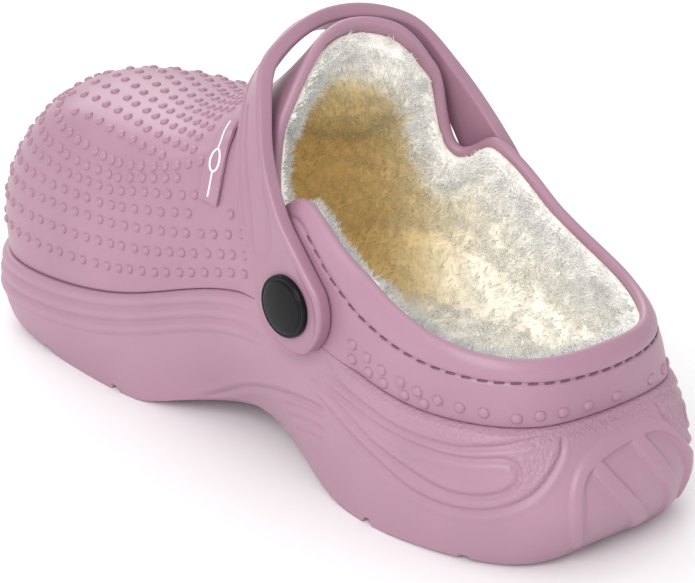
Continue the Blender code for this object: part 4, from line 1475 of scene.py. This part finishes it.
def lumpy(points, mix, seed):
    """Coarse and fine lumps of the fleece, mixed."""
    coarse, fine = mix
    return coarse * lump(points, FLEECE_COARSE, seed) + fine * lump(points, FLEECE_FINE, seed + 1)


def fleece_shade_depth(points, rim_gap):
    """How much painted shade the pile's colour gets: 0 at the rim to 1 deep under the vamp."""
    reach = smooth_step(*DEEP_REACH, points[:, 1])
    low = 1 - smooth_step(*DEEP_HEIGHT, points[:, 2])
    inner = reach * (DEEP_HIGH + (1 - DEEP_HIGH) * low)
    return np.clip((DEEP_LEAST + (1 - DEEP_LEAST) * inner) * smooth_step(*DEEP_RIM, rim_gap), 0, 1)


def make_lining(material):
    """Fleece sheet inside the upper, from the rim down to the footbed."""
    station = np.linspace(0, STATION_COUNT, LINING_AROUND, endpoint=False)
    climb = np.linspace(0.0, TOP_SHARE, LINING_ROWS)
    normals = upper_normals(station, climb)
    wall = upper_surface(station, climb) - normals * (UPPER_WALL + SEAM_GAP)
    cup_high = foot_line(station, inset=UPPER_WALL + CUP_GAP)
    cup_low = bed_ring(station, BED_COVE + CUP_GAP, INSOLE_THICKNESS)
    shares = np.linspace(0, 1, CUP_ROWS, endpoint=False)[:, None, None]
    back = np.concatenate([cup_low + shares * (cup_high - cup_low), wall])
    normals = np.concatenate([np.repeat(normals[:1], CUP_ROWS, axis=0), normals])
    lengths = run_lengths(back)
    rim_gap = lengths[-1] - lengths
    full = smooth_step(0, FLEECE_RIM_FADE, rim_gap)
    depth = FLEECE_DEPTH * (FLEECE_RIM_SHARE + (1 - FLEECE_RIM_SHARE) * full)
    lumps = lumpy(back, LINING_MIX, 1).reshape(rim_gap.shape)
    depth = depth + FLEECE_LUMP * lumps * smooth_step(0, LUMP_FADE, rim_gap)
    face = back - normals * depth[:, :, None]
    grid = np.concatenate([face, back[::-4]])
    rows, columns = grid.shape[:2]
    piece = linked("fleece_lining", grid, torus_faces(rows, columns)[:, ::-1], material)
    shade = fleece_shade_depth(face.reshape(-1, 3), rim_gap.ravel())
    rest = rows * columns - len(shade)
    set_shade(piece, "depth", np.concatenate([shade, np.full(rest, LINING_BACK_SHADE)]))
    return piece, face, normals, rim_gap


def make_footbed(material):
    """Fleece-topped insole that fills its solid."""
    around = FOOTBED_AROUND
    station = np.linspace(0, STATION_COUNT, around, endpoint=False)
    gap = BED_COVE + INSOLE_CLEARANCE
    rings = [
        bed_ring(station, gap + INSOLE_ROUND, SEAM_GAP),
        bed_ring(station, gap, SEAM_GAP + INSOLE_ROUND),
        bed_ring(station, gap - FOOTBED_BELLY, INSOLE_THICKNESS - INSOLE_ROUND),
        bed_ring(station, gap + INSOLE_ROUND, INSOLE_THICKNESS),
    ]
    grid = np.array(rings)
    rows = len(rings)
    offset = rows * around
    bottom, low_faces = ladder(grid[0], 0, offset, FOOTBED_UNDER, False)
    offset += len(bottom)
    top, high_faces = ladder(grid[-1], (rows - 1) * around, offset, FOOTBED_ACROSS, True)
    top[:, 2] += FOOTBED_LIFT + FLEECE_LUMP * lumpy(top, FOOTBED_MIX, 3)
    points = np.concatenate([grid.reshape(-1, 3), bottom, top])
    faces = np.concatenate([strip_faces(rows, around), low_faces, high_faces])
    piece = linked("fleece_footbed", points, triangles(faces), material)
    set_shade(piece, "depth", fleece_shade_depth(points, np.full(len(points), FOOTBED_RIM_GAP)))
    return piece, top


def pile(name, roots, outs, ways, lengths, shades, material):
    """Closed tapering fibres, lit as the soft surface that they make together."""
    count = len(roots)
    across = np.cross(ways, np.tile(FIBRE_SIDE, (count, 1)))
    across /= np.linalg.norm(across, axis=1)[:, None] + 1e-9
    along = np.cross(ways, across)
    ring = []
    for turn in FIBRE_TURNS:
        ring.append(roots + (across * math.cos(turn) + along * math.sin(turn)) * PILE_WIDTH / 2)
    tips = roots + ways * lengths[:, None]
    block = np.stack(ring + [tips], axis=1)
    faces = np.array([(0, 1, 3), (1, 2, 3), (2, 0, 3), (0, 2, 1)])
    starts = (np.arange(count) * 4)[:, None, None]
    piece = linked(name, block, (faces[None] + starts).reshape(-1, 3), material)
    facing = unit(outs + FIBRE_FACING * ways)
    piece.data.normals_split_custom_set_from_vertices(np.repeat(facing, 4, axis=0).tolist())
    set_shade(piece, "depth", np.repeat(shades, 4))
    return piece


def field(points, size, seed):
    """A smooth field of sideways leans, so that neighbouring fibres lie together."""
    return np.column_stack([lump(points, size, seed + k) for k in range(3)])


def grow(rng, name, roots, outs, pull, facing, gaps, material):
    """Fibres from their roots: outward, pulled one way, and leaning with their neighbours."""
    scatter, up_scatter, sink, lean, size, seed, wander, longer = PILES[name]
    roots = roots + rng.normal(0, (scatter, scatter, up_scatter), roots.shape)
    shared = lean * field(roots, size, seed) + rng.normal(0, wander, roots.shape)
    ways = unit(outs + shared + pull)
    lengths = PILE_LENGTH + longer * rng.random(len(roots))
    return pile(name, roots - outs * sink, facing, ways, lengths, fleece_shade_depth(roots, gaps), material)


def make_pile(face, normals, rim_gap, top, material):
    """Fibres on the lining's face, a thicker fringe at the rim, and fibres on the footbed."""
    rng = np.random.default_rng(PILE_SEED)
    flat = face.reshape(-1, 3)
    outs = -normals.reshape(-1, 3)
    gaps = rim_gap.ravel()
    seen = (gaps > WALL_START) & (flat[:, 1] < PILE_END)
    pick = rng.choice(np.nonzero(seen)[0], WALL_FIBRES)
    wall = grow(rng, "fleece_pile_wall", flat[pick], outs[pick], UPRIGHT * -WALL_SAG, outs[pick],
                gaps[pick], material)

    pick = rng.choice(np.nonzero(gaps < FRINGE_REACH)[0], FRINGE_FIBRES)
    roots = flat[pick] - outs[pick] * FLEECE_DEPTH * FRINGE_SINK * rng.random((len(pick), 1))
    upward = FRINGE_RISE + FRINGE_RIM_RISE * (1 - smooth_step(0, FRINGE_FADE, gaps[pick]))[:, None]
    facing = outs[pick] * FRINGE_FACING[0] + UPRIGHT * FRINGE_FACING[1]
    fringe = grow(rng, "fleece_fringe", roots, outs[pick] * FRINGE_OUT, UPRIGHT * upward, facing,
                  gaps[pick], material)

    back = top[top[:, 1] < PILE_END]
    roots = back[rng.integers(0, len(back), BED_FIBRES)] - UPRIGHT * BED_SINK
    gaps = np.full(len(roots), FOOTBED_RIM_GAP)
    upright = np.tile(UPRIGHT, (len(roots), 1))
    bed = grow(rng, "fleece_pile_bed", roots, 0.0, upright * BED_RISE, upright, gaps, material)
    return wall, fringe, bed


def strap_rows():
    """The loop's places, inner face, half width and outward direction, with its two round ends."""
    places = np.linspace(0, 2, STRAP_ROWS)
    turns = np.radians(np.linspace(STRAP_END_STEEP, STRAP_END_FLAT, STRAP_END_ROWS))
    ends = []
    for side in (-1.0, 1.0):
        ends.append((np.full(len(turns), side * (PAD_SPREAD + SEAM_GAP)), -STRAP_END_RADIUS * np.sin(turns),
                     STRAP_END_RADIUS * np.cos(turns), np.tile([side, 0.0], (len(turns), 1))))
    parts = zip(ends[0], strap_frame(places), [column[::-1] for column in ends[1]])
    span, reach, half_width, out = (np.concatenate(part) for part in parts)
    whole = np.concatenate([np.zeros(len(turns)), places, np.full(len(turns), 2.0)])
    return whole, span, reach, half_width, out


def strap_profile(half_width):
    """Points round the section, across and up, with its rounded edges and raised borders."""
    rib = np.minimum(STRAP_BORDER_WIDTH, half_width * STRAP_BORDER_LIMIT)
    edge = np.minimum(STRAP_EDGE_ROUND, half_width * STRAP_EDGE_LIMIT)
    corner = STRAP_CORNER * edge
    near, far = (rib * share for share in STRAP_BORDER_EDGE)
    height = STRAP_THICKNESS + STRAP_BORDER_RISE
    left = []
    for turn in np.radians(np.linspace(0, 90, 5)):
        left.append((-half_width + edge * (1 - math.sin(turn)), edge * (1 - math.cos(turn))))
    for turn in np.radians(np.linspace(0, 90, 6)):
        left.append((-half_width + corner * (1 - math.cos(turn)), height - corner * (1 - math.sin(turn))))
    top = []
    for share in np.linspace(-1, 1, STRAP_ACROSS)[1:-1]:
        here = (half_width - corner) * share
        border = 1 - smooth_step(near, far, half_width - np.abs(here))
        top.append((here, STRAP_THICKNESS + STRAP_BORDER_RISE * border))
    right = [(-across, up) for across, up in reversed(left)]
    return np.array(left + top + right).transpose(1, 0, 2)


def engrave_strap(whole, across, up):
    """Heights of the section with the thin line sunk into the inner side."""
    places = np.linspace(0, 2, STRAP_ROWS)
    half_width = strap_frame(places)[2]
    chart = np.stack([np.broadcast_to(whole, across.shape) * STRAP_REACH * STRAP_STRETCH, across], axis=-1)
    line = [(place * STRAP_REACH * STRAP_STRETCH, share * np.interp(place, places, half_width) * 2)
            for place, share in STRAP_LINE]
    gap = line_distance(chart.reshape(-1, 2), line).reshape(across.shape)
    top = (up > STRAP_THICKNESS * STRAP_TOP_SHARE) & (whole[None] < STRAP_LINE_END) & (whole[None] > 0.0)
    return up - STRAP_LINE_DEPTH * np.exp(-(gap / STRAP_LINE_WIDTH) ** 2) * top


def lay_strap(whole, across, up):
    """Roll the section, widen it and move it inward, as STRAP_LAY tells for each place."""
    table = np.array(STRAP_LAY)
    knots = np.concatenate([table[:, 0], 2 - table[-2::-1, 0]])
    lay = natural_spline(knots, np.concatenate([table[:, 1:], table[-2::-1, 1:]]), whole)
    roll = np.radians(lay[:, 0])
    middle = (STRAP_THICKNESS + STRAP_BORDER_RISE) / 2
    wide = across * lay[:, 2]
    raised = up - middle
    rolled_up = middle + raised * np.cos(roll) + wide * np.sin(roll) - lay[:, 1] * STRAP_REACH
    return wide * np.cos(roll) - raised * np.sin(roll), rolled_up


def make_strap(material):
    """The strap at full resolution, with its raised borders, round ends and engraved line."""
    whole, span, reach, half_width, out = strap_rows()
    across, up = strap_profile(half_width)
    across, up = lay_strap(whole, across, engrave_strap(whole, across, up))
    lean_x = span + out[:, 0] * up
    lean_up = reach + out[:, 1] * up
    y = PIVOT_REACH + lean_up * math.sin(STRAP_LEAN) + across * math.cos(STRAP_LEAN)
    z = PIVOT_HEIGHT + lean_up * math.cos(STRAP_LEAN) - across * math.sin(STRAP_LEAN)
    return capped_grid("strap_skin", np.stack([lean_x, y, z], axis=-1).transpose(1, 0, 2), material)


def make_rivet(name, side, material):
    """Button rivet with a smooth low dome and a rounded edge."""
    strap_face = PAD_SPREAD + SEAM_GAP + STRAP_THICKNESS + RIVET_CLEARANCE
    wall_face = PAD_SPREAD - UPPER_WALL - RIVET_CLEARANCE
    profile = [(radius * RIVET_WASHER_RADIUS, wall_face - depth * RIVET_WASHER_THICKNESS)
               for radius, depth in WASHER_PROFILE]
    profile.insert(0, (WASHER_HOLLOW * RIVET_WASHER_RADIUS, wall_face - RIVET_WASHER_THICKNESS))
    profile += [(RIVET_SHANK_RADIUS, wall_face), (RIVET_SHANK_RADIUS, strap_face)]
    head = [(1.0, 0.0)]
    head += [(1 - RIVET_EDGE * (1 - math.cos(turn)), RIVET_EDGE_LOW + RIVET_EDGE_RISE * math.sin(turn))
             for turn in np.radians(np.linspace(0, 90, 7)[1:])]
    head += [(share, RIVET_GROOVE_LOW + RIVET_GROOVE_RISE * share) for share in RIVET_GROOVE]
    head += [(share, 1 - RIVET_DOME_FALL * share ** RIVET_DOME_POWER)
             for share in np.linspace(*RIVET_DOME, RIVET_DOME_STEPS)]
    profile += [(RIVET_HEAD_RADIUS * radius, strap_face + RIVET_HEAD_RISE * rise) for radius, rise in head]
    angles = np.linspace(0, 2 * math.pi, RIVET_SIDES, endpoint=False)
    grid = np.array([
        np.column_stack([np.full(RIVET_SIDES, side * out), PIVOT_REACH + radius * np.cos(angles),
                         PIVOT_HEIGHT + radius * np.sin(angles)])
        for radius, out in profile])
    return capped_grid(name, grid, material, flipped=side > 0)


def stitch_line(chart):
    """Points and normals along the line of stitches, under the rim."""
    table = np.array(STITCH_DROP)
    spots, ups = [], []
    for station in np.linspace(-BAND_END, BAND_END, STITCH_SAMPLES):
        column = chart.column(station)
        drop = np.interp(abs(station), table[:, 0], table[:, 1])
        length = chart.lengths[:, column]
        share = np.interp(length[-1] - drop, length, np.arange(len(length)))
        row = int(share)
        part = share - row
        spots.append(chart.grid[row, column] * (1 - part) + chart.grid[row + 1, column] * part)
        ups.append(chart.normals[row, column])
    return curve_smooth(np.array(spots)), unit(curve_smooth(np.array(ups)))


def make_stitches(chart, material):
    """Moulded stitches in their groove under the collar band."""
    spots, ups = stitch_line(chart)
    run = line_run(spots)
    blocks, faces = [], []
    sides = STITCH_SIDES
    start = STITCH_PITCH
    while start < run[-1] - STITCH_PITCH:
        middle = row_at(start, run, spots)
        ahead = row_at(start + STITCH_PROBE, run, spots)
        up = row_at(start, run, ups)
        way = (ahead - middle) / np.linalg.norm(ahead - middle)
        side = np.cross(up, way)
        way = way + side * STITCH_SLANT
        base = len(blocks) * len(STITCH_RINGS) * sides
        block = []
        for along, size in STITCH_RINGS:
            for turn in 2 * math.pi * np.arange(sides) / sides:
                block.append(middle - up * STITCH_SINK + way * along * STITCH_LENGTH / 2
                             + (side * math.cos(turn) + up * math.sin(turn)) * size * STITCH_WIDTH / 2)
        blocks.append(np.array(block))
        for ring in range(len(STITCH_RINGS) - 1):
            for k in range(sides):
                a = base + ring * sides + k
                b = base + ring * sides + (k + 1) % sides
                faces.append((a, b, b + sides, a + sides))
        for ring, turn in ((0, -1), (len(STITCH_RINGS) - 1, 1)):
            cap = [base + ring * sides + k for k in range(sides)][::turn]
            for corners in ((0, 1, 2, 3), (0, 3, 4, 7), (4, 5, 6, 7)):
                faces.append(tuple(cap[k] for k in corners))
        start += STITCH_PITCH
    return linked("collar_stitches", np.concatenate(blocks), np.array(faces), material)


def curve_smooth(values):
    """Even out small steps along a line of values."""
    kernel = np.ones(25) / 25
    padded_values = np.concatenate([np.repeat(values[:1], 12, 0), values, np.repeat(values[-1:], 12, 0)])
    return np.column_stack([np.convolve(padded_values[:, k], kernel, "valid") for k in range(3)])


def set_camera():
    """The photograph's view of the shoe."""
    target = to_object(np.array([CAMERA_TARGET]))[0]
    back = np.array([
        math.sin(CAMERA_TURN) * math.cos(CAMERA_TILT),
        -math.cos(CAMERA_TURN) * math.cos(CAMERA_TILT),
        math.sin(CAMERA_TILT),
    ])
    right = np.cross([0.0, 0.0, 1.0], back)
    right /= np.linalg.norm(right)
    up = np.cross(back, right)
    rolled_right = math.cos(CAMERA_ROLL) * right + math.sin(CAMERA_ROLL) * up
    rolled_up = math.cos(CAMERA_ROLL) * up - math.sin(CAMERA_ROLL) * right
    data = bpy.data.cameras.new("photo_camera")
    data.lens = CAMERA_LENS
    data.sensor_width = 36.0
    data.sensor_fit = "HORIZONTAL"
    data.clip_start = 0.01
    camera = bpy.data.objects.new("photo_camera", data)
    bpy.context.scene.collection.objects.link(camera)
    turn = Matrix((rolled_right, rolled_up, back)).transposed().to_4x4()
    camera.matrix_world = Matrix.Translation(target + back * CAMERA_DISTANCE) @ turn
    bpy.context.scene.camera = camera


def add_light(name, place, aim, size, power):
    """A white area light that faces a point."""
    data = bpy.data.lights.new(name, "AREA")
    data.shape = "RECTANGLE"
    data.size, data.size_y = size
    data.energy = power
    light = bpy.data.objects.new(name, data)
    bpy.context.scene.collection.objects.link(light)
    light.location = place
    light.rotation_euler = (Vector(place) - Vector(aim)).to_track_quat("Z", "Y").to_euler()


def set_stage():
    """Plain pale floor and soft studio light."""
    material, shader, _, _ = tree("studio_floor")
    shader.inputs["Base Color"].default_value = FLOOR_COLOUR
    shader.inputs["Roughness"].default_value = 0.6
    shader.inputs["Specular IOR Level"].default_value = 0.2
    mesh = bpy.data.meshes.new("studio_floor")
    corners = [(x * FLOOR_SIZE, y * FLOOR_SIZE, 0.0) for x, y in ((-1, -1), (1, -1), (1, 1), (-1, 1))]
    mesh.from_pydata(corners, [], [(0, 1, 2, 3)])
    placed("studio_floor", mesh, material)
    world = bpy.data.worlds.new("studio")
    world.use_nodes = True
    background = world.node_tree.nodes["Background"]
    background.inputs["Color"].default_value = WHITE
    background.inputs["Strength"].default_value = WORLD_STRENGTH
    bpy.context.scene.world = world
    for row in LIGHTS:
        add_light(*row)
    bpy.context.scene.view_settings.view_transform = "Standard"


def main():
    """Make every piece, hide the model's parts that they stand in for, and hang each piece on the root
    body.
    """
    set_camera()
    set_stage()
    # The sole's foam carries painted light and the strap's foam carries painted shade.
    pink, pink_sole_tone_and_light, pink_strap_painted_shade = (foam_material(name) for name in FOAMS)
    fleece = fleece_material("fleece_pile")
    black, white = (gloss_material(name) for name in GLOSSES)
    plum = thread_material("stitch_plum", STITCH_COLOUR)
    chart = Chart()

    skin = make_skin(pink)
    sole = make_sole(pink_sole_tone_and_light)
    heel_dots = make_heel_dots(chart, pink)
    dots = make_dots(chart, pink)
    strap = make_strap(pink_strap_painted_shade)
    inner = make_rivet("rivet_inner_head", -1, black)
    outer = make_rivet("rivet_outer_head", 1, black)
    strip, marks = make_badge(pink, white)
    stitches = make_stitches(chart, plum)
    lining, face, normals, rim_gap = make_lining(fleece)
    bed, top = make_footbed(fleece)
    wall, fringe, bed_pile = make_pile(face, normals, rim_gap, top, fleece)

    for piece, node in ((skin, "upper"), (sole, "sole"), (strap, "strap"), (inner, "rivet_inner"),
                        (outer, "rivet_outer"), (strip, "badge"), (bed, "insole")):
        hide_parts(node)
    slots = {
        "foam": (skin, dots, heel_dots, strap),
        "foam_sole": (sole, strip, marks, stitches),
        "rivet": (inner, outer),
        "fleece": (lining, bed, wall, fringe, bed_pile),
    }
    for name, pieces in slots.items():
        for piece in pieces:
            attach(piece, "root")


main()
